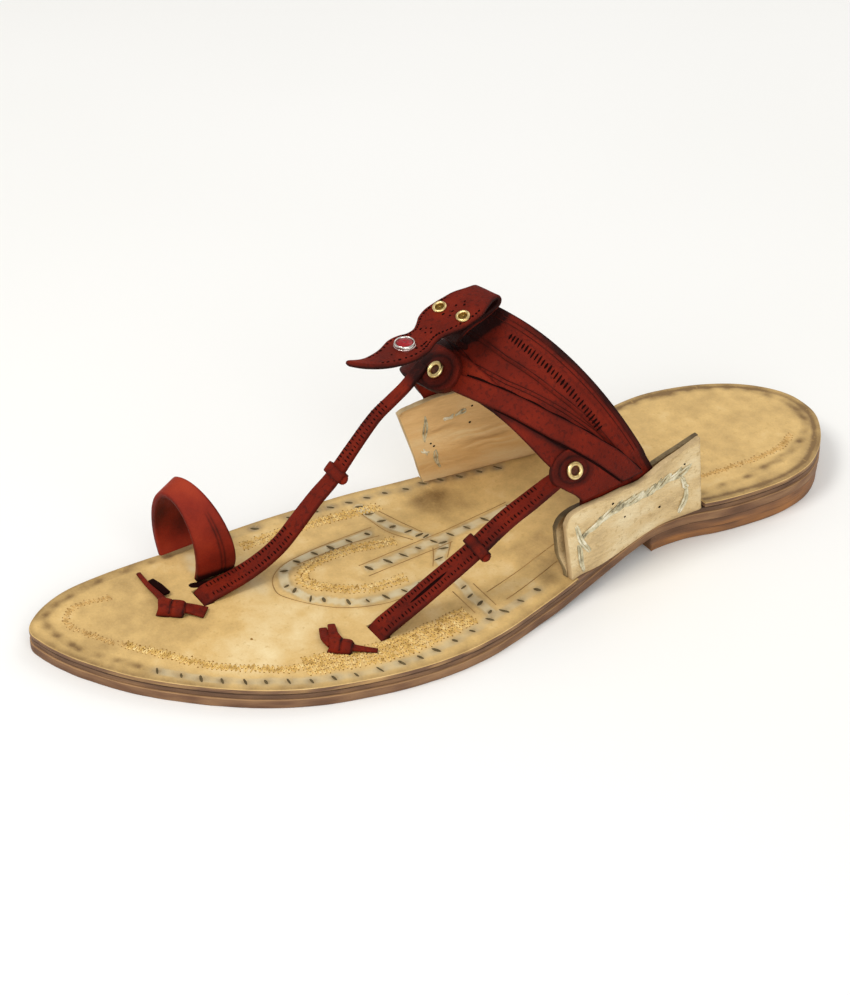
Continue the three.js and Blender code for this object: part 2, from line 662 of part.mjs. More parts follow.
function tongueSolid() {
  const rows = smoothRows(tongueRows, tonguePlaces);
  const faces = [0.5, -0.5].map((side) => rows.map((row, i) => {
    const { at, across, up } = tongueFrame(rows, i);
    const level = at.clone().addScaledVector(up, side * tongueThickness);
    return steps(tongueColumns).map((t) => level.clone().addScaledVector(across, mix(-1, 1, t) * row.half));
  }));
  return toSolid(slab(faces[0], faces[1]));
}

// ---------------------------------------------------------------- eyelets

// A rolled eyelet: a domed flange over a short barrel, closed on itself, with its axis on +Y.
function eyeletGeometry(outer, hole, depth) {
  const r = outer / 2;
  const inner = hole / 2;
  const barrel = eyeletBarrel / 2;
  const dome = 0.9;
  const profile = [
    new THREE.Vector2(inner, -depth),
    new THREE.Vector2(barrel, -depth),
    new THREE.Vector2(barrel, 0.05),
    new THREE.Vector2(r, 0.05),
    new THREE.Vector2(r, 0.4),
    new THREE.Vector2(mix(r, inner, 0.25), dome),
    new THREE.Vector2(mix(r, inner, 0.7), dome),
    new THREE.Vector2(inner, 0.5),
    new THREE.Vector2(inner, -depth),
  ];
  return new THREE.LatheGeometry(profile, 20);
}

function aimed(geometry, at, axis) {
  const turn = new THREE.Quaternion().setFromUnitVectors(vec(0, 1, 0), axis);
  geometry.applyQuaternion(turn);
  geometry.translate(at.x, at.y, at.z);
  return geometry;
}

function holeSolid(at, axis) {
  const geometry = new THREE.CylinderGeometry(eyeletBarrel / 2 + seatGap, eyeletBarrel / 2 + seatGap, 12, 20);
  return toSolid(aimed(geometry, at, axis));
}

// ---------------------------------------------------------------- keepers and knots

// A leather keeper: a flat ring round a strap.
function keeperGeometry(table, share) {
  const rows = smoothRows(table, strapPlaces);
  const i = Math.round(share * strapPlaces);
  const { at, along, across, up, width } = strapFrame(rows, i);
  const keeperWall = 1.2;
  const keeperLength = 4;
  const insideWidth = width + 2 * seatGap;
  const insideHeight = strapThickness + 2 * seatGap;
  const rectangle = (Kind, w, h) => {
    const path = new Kind();
    path.moveTo(-w / 2, -h / 2);
    path.lineTo(w / 2, -h / 2);
    path.lineTo(w / 2, h / 2);
    path.lineTo(-w / 2, h / 2);
    path.closePath();
    return path;
  };
  const shape = rectangle(THREE.Shape, insideWidth + 2 * keeperWall, insideHeight + 2 * keeperWall);
  shape.holes.push(rectangle(THREE.Path, insideWidth, insideHeight));
  const geometry = new THREE.ExtrudeGeometry(shape, { depth: keeperLength, bevelEnabled: false });
  geometry.translate(0, 0, -keeperLength / 2);
  geometry.applyMatrix4(new THREE.Matrix4().makeBasis(across, up, across.clone().cross(up)));
  geometry.translate(at.x, at.y, at.z);
  return geometry;
}

// A knotted strap end on the footbed: a folded body with a wide tail and a thin tail.
function knotSolid(rows) {
  const base = footbed(rows[0].y) + seatGap;
  const direction = vec(rows.at(-1).x - rows[0].x, rows.at(-1).y - rows[0].y, 0).normalize();
  const across = vec(-direction.y, direction.x, 0);
  const faces = [1, 0].map((side) => rows.map((row) => [-0.5, 0, 0.5].map((t) => {
    const crown = side * row.height * (t === 0 ? 1 : 0.7);
    return vec(row.x, row.y, base + crown).addScaledVector(across, t * row.width);
  })));
  return toSolid(slab(faces[0], faces[1]));
}
const medialKnotRows = [
  { x: -9.6, y: -82.2, width: 4.6, height: 1.4 },
  { x: -14.4, y: -85.6, width: 4, height: 2 },
  { x: -16.2, y: -87.4, width: 5.4, height: 3.6 },
  { x: -20.6, y: -89.4, width: 6.4, height: 4.2 },
  { x: -24.4, y: -89.6, width: 5, height: 3.2 },
  { x: -26.4, y: -89.4, width: 2.6, height: 1.8 },
  { x: -38, y: -90.4, width: 2.2, height: 1.4 },
];
const lateralKnotRows = [
  { x: 12.4, y: -56, width: 5, height: 1.6 },
  { x: 16.4, y: -56.6, width: 4.4, height: 2.2 },
  { x: 19.4, y: -57.4, width: 5.4, height: 3.4 },
  { x: 23, y: -57.2, width: 5.6, height: 3.8 },
  { x: 25.2, y: -55.6, width: 3.6, height: 2.8 },
  { x: 26.2, y: -54, width: 2.4, height: 1.6 },
  { x: 28.8, y: -49, width: 2.2, height: 1.3 },
];

// ---------------------------------------------------------------- assembly

const edgeLeather = leather('edge leather', leatherEdge);
const tanLeather = leather('tan leather', leatherTan);
const earLeather = leather('ear leather', leatherEar);
const redLeather = leather('red leather', leatherRed);
const loopLeather = leather('loop leather', leatherLoop);
const brassMetal = metal('brass', brass);
const ringMetal = metal('white metal', whiteMetal);

addPiece('outsole', toGeometry(soleLayer({
  inset: 0, bottom: rise, top: (y) => rise(y) + outsoleThickness,
})), edgeLeather);
// The midsole gives way under the long outer ply of the lateral ear.
const plyNotch = (() => {
  const clear = 0.2;
  const ends = [lateralEarRows[0], ...lateralEarRows, lateralEarRows.at(-1)];
  const face = (zOf) => ends.map((row, i) => {
    const place = Math.min(lateralEarRows.length - 1, Math.max(0, i - 1));
    const inner = earPoint(lateralEarRows, place, 0, earPly + clear);
    const past = i === 0 ? -clear : Number(i === ends.length - 1) * 3 * clear;
    const z = zOf(insoleBottom(row.baseY) - row.sunk - clear);
    return [vec(inner.x, row.baseY + past, z), vec(row.baseX + 6, row.baseY + past, z)];
  });
  return toSolid(slab(face(() => 20), face((z) => z)));
})();
const midsoleBlank = soleLayer({
  inset: 0.35, bottom: midsoleBottom, top: (y) => midsoleBottom(y) + midsoleThickness,
});
addPiece('midsole', toGeometry(cut(midsoleBlank, [plyNotch])), edgeLeather);

const liftThickness = heelRise / 2 - plyGap;
addPiece('heel_lift_upper', toGeometry(soleLayer({
  inset: 0.2, bottom: () => heelRise / 2, top: (y) => rise(y) - plyGap, from: breastY, count: 30,
})), edgeLeather);
addPiece('heel_lift_lower', toGeometry(soleLayer({
  inset: 0.5, bottom: () => 0, top: () => liftThickness, from: breastY + 0.6, count: 30,
})), edgeLeather);

// The insole: slots for the straps and the loop, and notches where the ears and the loop stand.
const earNotches = [lateralEarRows, medialEarRows].map((rows) => {
  const outward = rows[0].baseX > 0 ? 1 : -1;
  const depth = 2 * earPly + 2.8 * seatGap;
  const last = rows.at(-1);
  const ends = [{ ...rows[0], baseY: rows[0].baseY - 1.6 }, ...rows, { ...last, baseY: last.baseY + 0.9 }];
  const face = (zOf) => ends.map((row, i) => {
    const footRow = rows[Math.min(rows.length - 1, Math.max(0, i - 1))];
    const inner = earPoint(rows, rows.indexOf(footRow), 0, depth);
    const z = zOf(row);
    return [vec(inner.x, row.baseY, z), vec(row.baseX + outward * 6, row.baseY, z)];
  });
  return toSolid(slab(face(() => 20), face((row) => insoleBottom(row.baseY) - (row.sunk ?? 0) - 0.25)));
});
const loopNotch = boxSolid([-44.2, -75.4, insoleBottom(0)], [7.6, 14, 3 * insoleThickness], 0.05);
const loopSlot = boxSolid([-25.6, -70.8, insoleBottom(0)], [4.4, 13.6, 3 * insoleThickness], -0.05);
const insoleBlank = soleLayer({ inset: 0.15, bottom: insoleBottom, top: footbed });
addPiece('insole', toGeometry(cut(insoleBlank, [
  ...earNotches,
  loopNotch,
  loopSlot,
  slotSolid(-18.1, -78.9, strapWidth),
  slotSolid(23, -44.2, strapWidth),
])), tanLeather);

addPiece('ear_lateral_outer', toGeometry(outerPly(lateralEarRows)), earLeather);
addPiece('ear_lateral_inner', toGeometry(innerPly(lateralInnerRows)), earLeather);
addPiece('ear_medial_outer', toGeometry(outerPly(medialOuterRows)), earLeather);
addPiece('ear_medial_inner', toGeometry(innerPly(medialEarRows)), earLeather);

const upperSolid = join([
  bandStrip(wallRows(), -wall, 6),
  bandStrip(smoothRows(rearStripRows, 28), sunk, 2),
  bandStrip(smoothRows(counterRows, 28), sunk, 3),
  bandStrip(smoothRows(diagonalRows, 24), sunk, 3),
  bandStrip(tabRows(lateralTab, lateralTail, 1), sunk, 6),
  bandStrip(tabRows(medialTab, medialTail, -1), sunk, 6),
  strapSolid(medialStrapRows),
  strapSolid(lateralStrapRows),
]);
const tabEyelets = [
  { name: 'eyelet_tab_lateral', tab: lateralTab },
  { name: 'eyelet_tab_medial', tab: medialTab },
].map(({ name, tab }) => ({
  name,
  at: bandLift(tab.s, tab.w, tab.height),
  axis: bandNormal(tab.s, tab.w),
}));
const tabHoles = tabEyelets.map(({ at, axis }) => holeSolid(at, axis));
addPiece('upper', toGeometry(cut(upperSolid, tabHoles)), redLeather);

addPiece('toe_loop', toGeometry(loopSolid()), loopLeather);

// Tongue eyelets: two side by side on the wide lobe, and a larger ring on the narrow one.
const tongueLine = smoothRows(tongueRows, tonguePlaces);
const tongueEyelets = [
  { name: 'eyelet_tongue_medial', share: 0.545, side: -3.9, outer: smallEyeletOuter, material: brassMetal },
  { name: 'eyelet_tongue_lateral', share: 0.545, side: 4.4, outer: smallEyeletOuter, material: brassMetal },
  { name: 'eyelet_tongue_front', share: 0.795, side: 0, outer: stoneRingOuter, material: ringMetal },
].map((eyelet) => {
  const { at, across, up } = tongueFrame(tongueLine, Math.round(eyelet.share * tonguePlaces));
  const axis = up.z < 0 ? up.clone().negate() : up.clone();
  const seat = at.clone().addScaledVector(across, eyelet.side);
  return { ...eyelet, at: seat.addScaledVector(axis, tongueThickness / 2 + 0.25), axis };
});
const raised = (at, axis) => at.clone().addScaledVector(axis, 3.4); // keeps a hole out of the lower layer
const tongueHoles = tongueEyelets.map(({ at, axis }) => holeSolid(raised(at, axis), axis));
addPiece('tongue', toGeometry(cut(tongueSolid(), tongueHoles)), redLeather);

for (const { name, at, axis } of tabEyelets) {
  const seat = at.clone().addScaledVector(axis, seatGap);
  addPiece(name, aimed(eyeletGeometry(eyeletOuter, eyeletHole, 2), seat, axis), brassMetal);
}
for (const { name, at, axis, outer, material } of tongueEyelets) {
  addPiece(name, aimed(eyeletGeometry(outer, eyeletHole, 1.5), at, axis), material);
}

addPiece('keeper_medial', keeperGeometry(medialStrapRows, 0.425), redLeather);
addPiece('keeper_lateral', keeperGeometry(lateralStrapRows, 0.455), redLeather);
addPiece('knot_medial', toGeometry(knotSolid(smoothRows(medialKnotRows, 12))), redLeather);
addPiece('knot_lateral', toGeometry(knotSolid(smoothRows(lateralKnotRows, 12))), redLeather);

export default group;
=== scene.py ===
import json
import math
import bpy
import numpy as np
from mathutils import Matrix, Vector, noise
from mathutils.bvhtree import BVHTree

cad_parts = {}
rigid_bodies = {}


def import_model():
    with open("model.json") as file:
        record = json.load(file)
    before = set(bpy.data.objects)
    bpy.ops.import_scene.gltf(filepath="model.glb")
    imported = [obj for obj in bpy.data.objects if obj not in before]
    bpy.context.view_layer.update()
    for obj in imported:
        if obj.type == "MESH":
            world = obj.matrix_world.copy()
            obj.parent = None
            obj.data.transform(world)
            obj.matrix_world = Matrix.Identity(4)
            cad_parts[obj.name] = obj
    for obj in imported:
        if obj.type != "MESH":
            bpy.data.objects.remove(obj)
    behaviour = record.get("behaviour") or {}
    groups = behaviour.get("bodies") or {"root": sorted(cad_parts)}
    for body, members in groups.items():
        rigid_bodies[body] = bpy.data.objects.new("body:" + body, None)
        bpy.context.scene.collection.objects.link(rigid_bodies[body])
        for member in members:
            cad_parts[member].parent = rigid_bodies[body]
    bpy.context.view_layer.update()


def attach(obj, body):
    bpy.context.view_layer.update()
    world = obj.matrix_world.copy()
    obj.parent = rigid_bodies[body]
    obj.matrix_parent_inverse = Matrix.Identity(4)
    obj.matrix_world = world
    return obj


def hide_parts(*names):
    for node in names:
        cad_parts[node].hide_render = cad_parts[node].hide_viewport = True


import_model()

# Hand-made toe-loop sandal, left foot. Sizes are in millimetres until a mesh is made.
# The toe points to -Y, the heel to +Y, +X is the outer side and the floor is at Z = 0.

# ---- camera

view = {"place": (501.1, -327.6, 442.2), "target": (-34.5, 7.1, 0.0), "lens": 89.55}


def addObject(name, data):
    thing = bpy.data.objects.new(name, data)
    bpy.context.scene.collection.objects.link(thing)
    return thing


def aimed(place, target):
    return Matrix.Translation(place) @ (place - target).to_track_quat("Z", "Y").to_matrix().to_4x4()


def makeCamera():
    data = bpy.data.cameras.new("camera")
    data.lens = view["lens"]
    data.sensor_width = 36
    data.sensor_fit = "AUTO"
    data.clip_start = 0.01
    camera = addObject("camera", data)
    camera.matrix_world = aimed(Vector(view["place"]) / 1000, Vector(view["target"]) / 1000)
    bpy.context.scene.camera = camera


makeCamera()
print("camera placed")

# ---- shape helpers


def unit(v):
    return v / np.linalg.norm(v, axis=-1, keepdims=True)


def mix(a, b, t):
    return a + (b - a) * t


def smoothstep(t):
    t = np.clip(t, 0, 1)
    return t * t * (3 - 2 * t)


def bump(t):
    return np.exp(-t * t)


def signedPower(v, power):
    return np.sign(v) * np.abs(v) ** power


def rightOf(along):
    return np.stack([along[:, 1], -along[:, 0]], -1)


def stack(x, y, z):
    return np.stack(np.broadcast_arrays(x, y, z), -1).astype(float)


def table(names, *rows):
    return {name: np.array([row[i] for row in rows], float) for i, name in enumerate(names.split())}


def read(rows, key, at, name):
    return np.interp(at, rows[key], rows[name])


def smoothColumn(c, count):
    place = np.linspace(0, len(c) - 1, count + 1)
    i = np.minimum(len(c) - 2, place.astype(int))
    f = place - i
    before = c[np.maximum(0, i - 1)]
    after = c[np.minimum(len(c) - 1, i + 2)]
    slopeIn = (c[i + 1] - before) / np.where(i == 0, 1, 2)
    slopeOut = (after - c[i]) / np.where(i == len(c) - 2, 1, 2)
    f2, f3 = f * f, f * f * f
    return ((2 * f3 - 3 * f2 + 1) * c[i] + (f3 - 2 * f2 + f) * slopeIn
            + (3 * f2 - 2 * f3) * c[i + 1] + (f3 - f2) * slopeOut)


def smoothRows(rows, count):
    return {name: smoothColumn(column, count) for name, column in rows.items()}


def smoothPath(points, step):
    points = np.array(points, float)
    fine = np.stack([smoothColumn(points[:, k], 40 * len(points)) for k in range(points.shape[1])], -1)
    run = runAlong(fine)
    count = max(2, int(round(run[-1] / step)))
    at = np.linspace(0, run[-1], count + 1)
    return np.stack([np.interp(at, run, fine[:, k]) for k in range(points.shape[1])], -1)


def runAlong(points):
    # length from the first point to each of the points
    return np.concatenate([[0], np.cumsum(np.linalg.norm(np.diff(points, axis=0), axis=1))])


def gradients(path):
    return unit(np.gradient(path, axis=0))


def noiseAt(points, size, seed):
    # smooth noise from -1 to 1 with lumps about this many millimetres across
    flat = np.asarray(points, float).reshape(-1, 3) / size + seed * 17.3
    values = np.array([noise.noise(Vector(p)) for p in flat])
    return values.reshape(np.asarray(points).shape[:-1])


# ---- sole

sole = {
    "length": 258, "heelRise": 6, "riseStart": -8, "riseRun": 65, "breast": 48.4,
    "outsole": 2.75, "midsole": 1.45, "insole": 1.8, "gap": 0.25, "plyClear": 0.2,
}
outlineRows = table(
    "y lateral medial",
    (-128.2, -24.6, -31.9), (-125.6, -16.9, -35.2), (-120, -6.4, -39.3), (-112, 4.8, -42.5),
    (-100, 17, -43.9), (-86, 28, -44), (-72, 35.5, -43.5), (-57, 40.2, -43.5),
    (-43, 43.1, -43.2), (-30, 43.9, -42.3), (-16, 42.5, -41.2), (0, 38.6, -38.4),
    (14, 35.3, -35), (30, 31.2, -30.5), (42, 28.2, -26.7), (52, 26.3, -25.7),
    (62, 26.8, -27.8), (74, 29.6, -31), (87, 31.1, -31.9), (99, 30.8, -29.7),
    (109, 27.9, -26), (118, 21.3, -20.5), (125, 12.8, -13), (128.3, 6, -6.2),
)


def rise(y):
    return sole["heelRise"] * smoothstep((np.asarray(y, float) - sole["riseStart"]) / sole["riseRun"])


def midsoleBottom(y):
    return rise(y) + sole["outsole"] + sole["gap"]


def insoleBottom(y):
    return midsoleBottom(y) + sole["midsole"] + sole["gap"]


def footbed(y):
    return insoleBottom(y) + sole["insole"]


def closedCurve(points, count):
    # centripetal curve through a closed ring of points, evenly stepped along its length
    points = np.array(points, float)
    fine = []
    size = len(points)
    for i in range(size):
        p = [points[(i + k - 1) % size] for k in range(4)]
        t = [0.0]
        for a, b in zip(p, p[1:]):
            t.append(t[-1] + math.sqrt(np.linalg.norm(b - a)))
        for u in np.linspace(t[1], t[2], 24, endpoint=False):
            a1 = mix(p[0], p[1], (u - t[0]) / (t[1] - t[0]))
            a2 = mix(p[1], p[2], (u - t[1]) / (t[2] - t[1]))
            a3 = mix(p[2], p[3], (u - t[2]) / (t[3] - t[2]))
            b1 = mix(a1, a2, (u - t[0]) / (t[2] - t[0]))
            b2 = mix(a2, a3, (u - t[1]) / (t[3] - t[1]))
            fine.append(mix(b1, b2, (u - t[1]) / (t[2] - t[1])))
    fine = np.array(fine + [fine[0]])
    run = runAlong(fine)
    at = np.linspace(0, run[-1], count, endpoint=False)
    return np.stack([np.interp(at, run, fine[:, k]) for k in range(points.shape[1])], -1)


def soleRing():
    lateral, medial = (list(zip(outlineRows[side], outlineRows["y"])) for side in ("lateral", "medial"))
    return closedCurve([(-28.8, -129)] + lateral + [(0, 129)] + medial[::-1], 720)


outline = soleRing()


def insetRing(inset, ring=None):
    ring = outline if ring is None else ring
    along = unit(np.roll(ring, -1, 0) - np.roll(ring, 1, 0))
    return ring - rightOf(along) * np.reshape(inset, (-1, 1))


def lateralEdge(inset):
    ring = insetRing(inset)
    toe, heel = int(ring[:, 1].argmin()), int(ring[:, 1].argmax())
    return ring[np.arange(toe, toe + (heel - toe) % len(ring) + 1) % len(ring)]


# ---- ears

earPly = 1.8
wall = 1.9
seat = 0.3
lateralEar = table(
    "baseX baseY topX topY topZ sunk",
    (34.3, 14.9, 31.8, 13.5, 26.6, -2.1), (34, 16.2, 31.8, 15, 29.5, -2.1), (33.3, 19, 31.8, 18.4, 30.8, -1.6),
    (31.6, 26.5, 31.7, 25.6, 31.3, 0.4), (29.6, 35, 31.5, 33, 31.9, 1.2), (27.5, 43, 30.9, 40, 31.5, 1.7),
    (26.5, 48.5, 30.3, 44.6, 32.6, 1.7), (25.9, 53.5, 29.6, 49.5, 34.3, 1.7), (26.1, 58.5, 29.2, 56, 35.9, 1.4),
    (27.6, 66.8, 28.7, 63.4, 38.2, 0),
)
medialEar = table(
    "baseX baseY topX topY topZ sunk",
    (-37.2, 7, -36.2, -5.4, 37.5, 0), (-36.7, 9, -36.2, -3, 38.5, 0), (-35.2, 14, -36.1, 3, 39.1, 0),
    (-32.7, 22, -35.9, 10, 39.4, 0), (-30.2, 30, -35.6, 18, 39.2, 0), (-27.6, 38, -34.8, 27, 39, 0),
    (-25.8, 45, -33.8, 36, 39.6, 0), (-25.4, 52, -32.4, 45, 41, 0), (-26.8, 58.5, -31.2, 53, 42.6, 0),
)


def recut(rows, frontShift, rearShift, drops):
    rows = {name: column.copy() for name, column in rows.items()}
    rows["baseY"][0] += frontShift
    rows["topY"][:2] += frontShift
    rows["topY"][-1] += rearShift
    rows["topZ"] -= drops
    return rows


lateralInnerEar = recut(lateralEar, -0.2, 3.2, np.array([3.7, 3.6, 3.2, 3, 3, 2.8, 2.8, 3.1, 3.1, 2.9]))
lateralInnerEar["sunk"] = np.minimum(lateralInnerEar["sunk"], 0)
medialOuterEar = recut(medialEar, 4.5, 0, np.array([5.4, 4.4, 3.8, 3.6, 3.6, 3.6, 3.6, 3.6, 3.6]))


def pocket(h):
    return seat + (wall + 2.5 * seat) * smoothstep((h - 0.1) / 0.35)


def earFace(rows, h, depth):
    # one face of an ear ply: rows along its length, h up its height, depth in from the outer face
    inward = -1 if rows["baseX"][0] > 0 else 1
    cols = {name: column[:, None] for name, column in rows.items()}
    along = [np.gradient(mix(rows["base" + k][:, None], rows["top" + k][:, None], h), axis=0) for k in "XY"]
    size = np.hypot(along[0], along[1])
    x = mix(cols["baseX"], cols["topX"], h) + inward * depth * along[1] / size
    y = mix(cols["baseY"], cols["topY"], h) - inward * depth * along[0] / size
    z = mix(insoleBottom(cols["baseY"]) - cols["sunk"], cols["topZ"], h)
    return stack(x, y, z)


def earSeat(rows, topY, z):
    row = {name: read(rows, "topY", topY, name) for name in rows}
    foot = insoleBottom(row["baseY"])
    h = (z - foot) / (row["topZ"] - foot)
    inward = -1 if rows["baseX"][0] > 0 else 1
    x = mix(row["baseX"], row["topX"], h) + inward * (earPly + 1.8 * seat)
    return stack(x, mix(row["baseY"], row["topY"], h), z)


# ---- instep band

band = {"width": 26, "power": 2.4, "insert": 10}
lateralFeet = {"rows": lateralEar, "front": 20.8, "rear": 47.2, "z": 32.4}
medialFeet = {"rows": medialEar, "front": 5.2, "rear": 31.4, "z": 38.4}


def makeArch(side, crown):
    return {
        "lateral": earSeat(lateralFeet["rows"], lateralFeet[side], lateralFeet["z"]),
        "medial": earSeat(medialFeet["rows"], medialFeet[side], medialFeet["z"]),
        "crown": np.array(crown, float),
    }


frontArch = makeArch("front", (-0.6, -12.9, 22.8))
rearArch = makeArch("rear", (-3.1, -20.4, 41.2))


def archPoint(arch, angle):
    c, s = np.cos(angle)[..., None], np.sin(angle)[..., None]
    across = signedPower(c, 2 / band["power"])
    up = np.abs(s) ** (2 / band["power"])
    middle = (arch["lateral"] + arch["medial"]) / 2
    half = (arch["lateral"] - arch["medial"]) / 2
    return middle + half * across + arch["crown"] * up


archAngles = np.linspace(0, math.pi, 1441)
archMiddle = (archPoint(frontArch, archAngles) + archPoint(rearArch, archAngles)) / 2
archRun = runAlong(archMiddle)
bandLength = archRun[-1]


def bandPoint(s, w):
    # outer face of the band: s along it from the lateral ear, w across it from the front edge
    s, w = np.broadcast_arrays(np.asarray(s, float), np.asarray(w, float))
    angle = np.interp(np.clip(s, 0, bandLength), archRun, archAngles)
    v = (w / band["width"])[..., None]
    p = mix(archPoint(frontArch, angle), archPoint(rearArch, angle), v)
    for feet, past in ((lateralFeet, -s), (medialFeet, s - bandLength)):
        held = earSeat(feet["rows"], mix(feet["front"], feet["rear"], v[..., 0]), feet["z"] - np.maximum(past, 0))
        p = np.where((past > 0)[..., None], held, p)
    return p


def bandNormal(s, w, d=0.6):
    alongS = bandPoint(s + d, w) - bandPoint(s - d, w)
    alongW = bandPoint(s, w + d) - bandPoint(s, w - d)
    return -unit(np.cross(alongS, alongW))


def bandLift(s, w, height):
    return bandPoint(s, w) + bandNormal(s, w) * np.asarray(height, float)[..., None]


# strips that lie on the band, widened and narrowed by their rows
stripRows = {
    "counter": table(
        "s front rear height",
        (8, -1.2, 9.4, 0.9), (14, -1.5, 8, 0.9), (24, -1.7, 7.6, 0.9), (32, -1.2, 7.2, 0.9), (40, -0.5, 7, 0.9),
        (48, 0, 7, 0.9), (60, 0.6, 8.6, 0.9), (75, 3.2, 10.8, 0.9), (90, 8, 15, 0.9), (103, 12.6, 20, 0.9),
        (108, 14.4, 21.8, 0.9),
    ),
    "diagonal": table(
        "s front rear height",
        (1.6, 13.8, 21.4, 2.5), (6, 12.1, 20.1, 2.5), (11, 10.4, 18.4, 2.5), (17.6, 8, 15.5, 2.4),
        (26.8, 4.9, 12.2, 2.2), (34, 3.3, 10, 2), (42, 1.9, 8.2, 1.9), (51, 0.2, 6.3, 1.7),
        (61.5, -1.2, 4.4, 1.5), (69, -1.8, 4, 1.4),
    ),
    "lateralTail": table(
        "s front rear height",
        (0.4, -0.9, 13.8, 1.7), (4, -1.5, 12.9, 1.7), (8.5, -3, 12.2, 1.7),
    ),
    "medialTail": table(
        "s front rear height",
        (108, 0, 12.8, 1.7), (102, -0.3, 12.4, 1.9), (95, -1.2, 11.4, 2.2), (86, -2.6, 10.2, 2.6), (79, -4.4, 9.2, 2.9),
    ),
}
tabs = {
    "lateral": {"s": 15, "w": 2.8, "radius": 7.6, "squash": 1, "height": 1.7, "side": 1, "tail": "lateralTail"},
    "medial": {"s": 68.4, "w": 1.4, "radius": 7.2, "squash": 0.8, "height": 3.0, "side": -1, "tail": "medialTail"},
}


def tabRows(tab, count):
    tail = stripRows[tab["tail"]]
    turn = np.linspace(0, math.pi / 2, 17)
    half = np.maximum(0.5, tab["radius"] * np.cos(turn))
    cap = {
        "s": tab["s"] + tab["side"] * tab["radius"] * np.sin(turn),
        "front": tab["w"] - half * tab["squash"], "rear": tab["w"] + half, "height": np.full(17, tab["height"]),
    }
    rows = {name: np.concatenate([tail[name], cap[name]]) for name in cap}
    run = runAlong(np.stack([rows["s"], rows["front"]], 1))
    at = np.linspace(0, run[-1], count)
    return {name: np.interp(at, run, rows[name]) for name in rows}


# ---- straps

strapThickness = 1.7
strapRows = {
    "medial": table(
        "x y z width",
        (-17.9, -3.9, 61.2, 4.4), (-17.5, -7.2, 58.6, 4.4), (-17.3, -11, 55.6, 4.4), (-17.4, -15.4, 52.6, 4.5),
        (-17.5, -21, 48.6, 4.7), (-17.5, -28.4, 40.7, 5.2), (-17.5, -35.2, 33, 5.8), (-17.5, -41.2, 27.9, 6.2),
        (-17.5, -46.8, 22.4, 6.6), (-17.6, -52.9, 16.4, 6.7), (-17.7, -59, 12.6, 7), (-17.8, -66, 9.9, 7.4),
        (-17.9, -73, 8.3, 7.8), (-18, -77.6, 7.2, 8), (-18.1, -80, 5.5, 8),
    ),
    "lateral": table(
        "x y z width",
        (26.2, 16, 40.8, 5.6), (26.3, 11.2, 38.9, 6.6), (26.1, 4.6, 35.7, 7.2), (25.7, -2, 32.4, 7.3),
        (25.4, -7.8, 28.8, 7.4), (25.1, -13.3, 24.9, 7.5), (24.7, -18.7, 21.5, 7.7), (24.3, -25, 17.9, 7.9),
        (24, -31.4, 14.3, 8), (23.6, -37.7, 10.8, 8), (23.2, -42.6, 8, 8), (23, -45.4, 5.6, 8),
    ),
}


def strapFrame(rows, count):
    rows = smoothRows(rows, count)
    at = stack(rows["x"], rows["y"], rows["z"])
    along = gradients(at)
    across = unit(np.array([1.0, 0, 0]) - along * along[:, :1])
    up = np.cross(across, along)
    up = np.where(up[:, 2:] < 0, -up, up)
    return {"at": at, "along": along, "across": across, "up": up, "width": rows["width"]}


# ---- toe loop

loopThickness = 2.1
loopMiddle = (-34, -75, 18)
loopEdges = {
    "front": {"center": (-34, -79.8, 15.8), "side": (9.4, 2.4, 0), "crown": (0.2, -1.6, 18.4), "dip": 0.52},
    "rear": {"center": (-34.1, -70.3, 19.4), "side": (11.9, 3.8, 0), "crown": (-0.9, -3.8, 17.1), "dip": 0.85},
}
loopSwell = {"from": 0.54, "middle": 3.8, "foot": 0.9}  # the band widens backwards down to the inner foot


def loopEdge(edge, t):
    angle = mix(-edge["dip"], math.pi + edge["dip"], t)[..., None]
    side, crown = np.array(edge["side"]), np.array(edge["crown"])
    return np.array(edge["center"]) + side * np.cos(angle) + crown * np.sin(angle)


def loopPoint(t, v):
    t, v = np.broadcast_arrays(np.asarray(t, float), np.asarray(v, float))
    rear = loopEdge(loopEdges["rear"], t)
    share = np.maximum(0, (t - loopSwell["from"]) / (1 - loopSwell["from"]))
    rear[..., 1] += loopSwell["middle"] * np.sin(math.pi * np.minimum(1, share)) ** 2 + loopSwell["foot"] * share ** 2
    return mix(loopEdge(loopEdges["front"], t), rear, v[..., None])


def loopInward(t, v, d=0.01):
    along = loopPoint(t + d, v) - loopPoint(t - d, v)
    across = loopPoint(t, v + d) - loopPoint(t, v - d)
    inward = unit(np.cross(along, across))
    away = np.array(loopMiddle) - loopPoint(t, v)
    return np.where((inward * away).sum(-1, keepdims=True) < 0, -inward, inward)


# ---- tongue

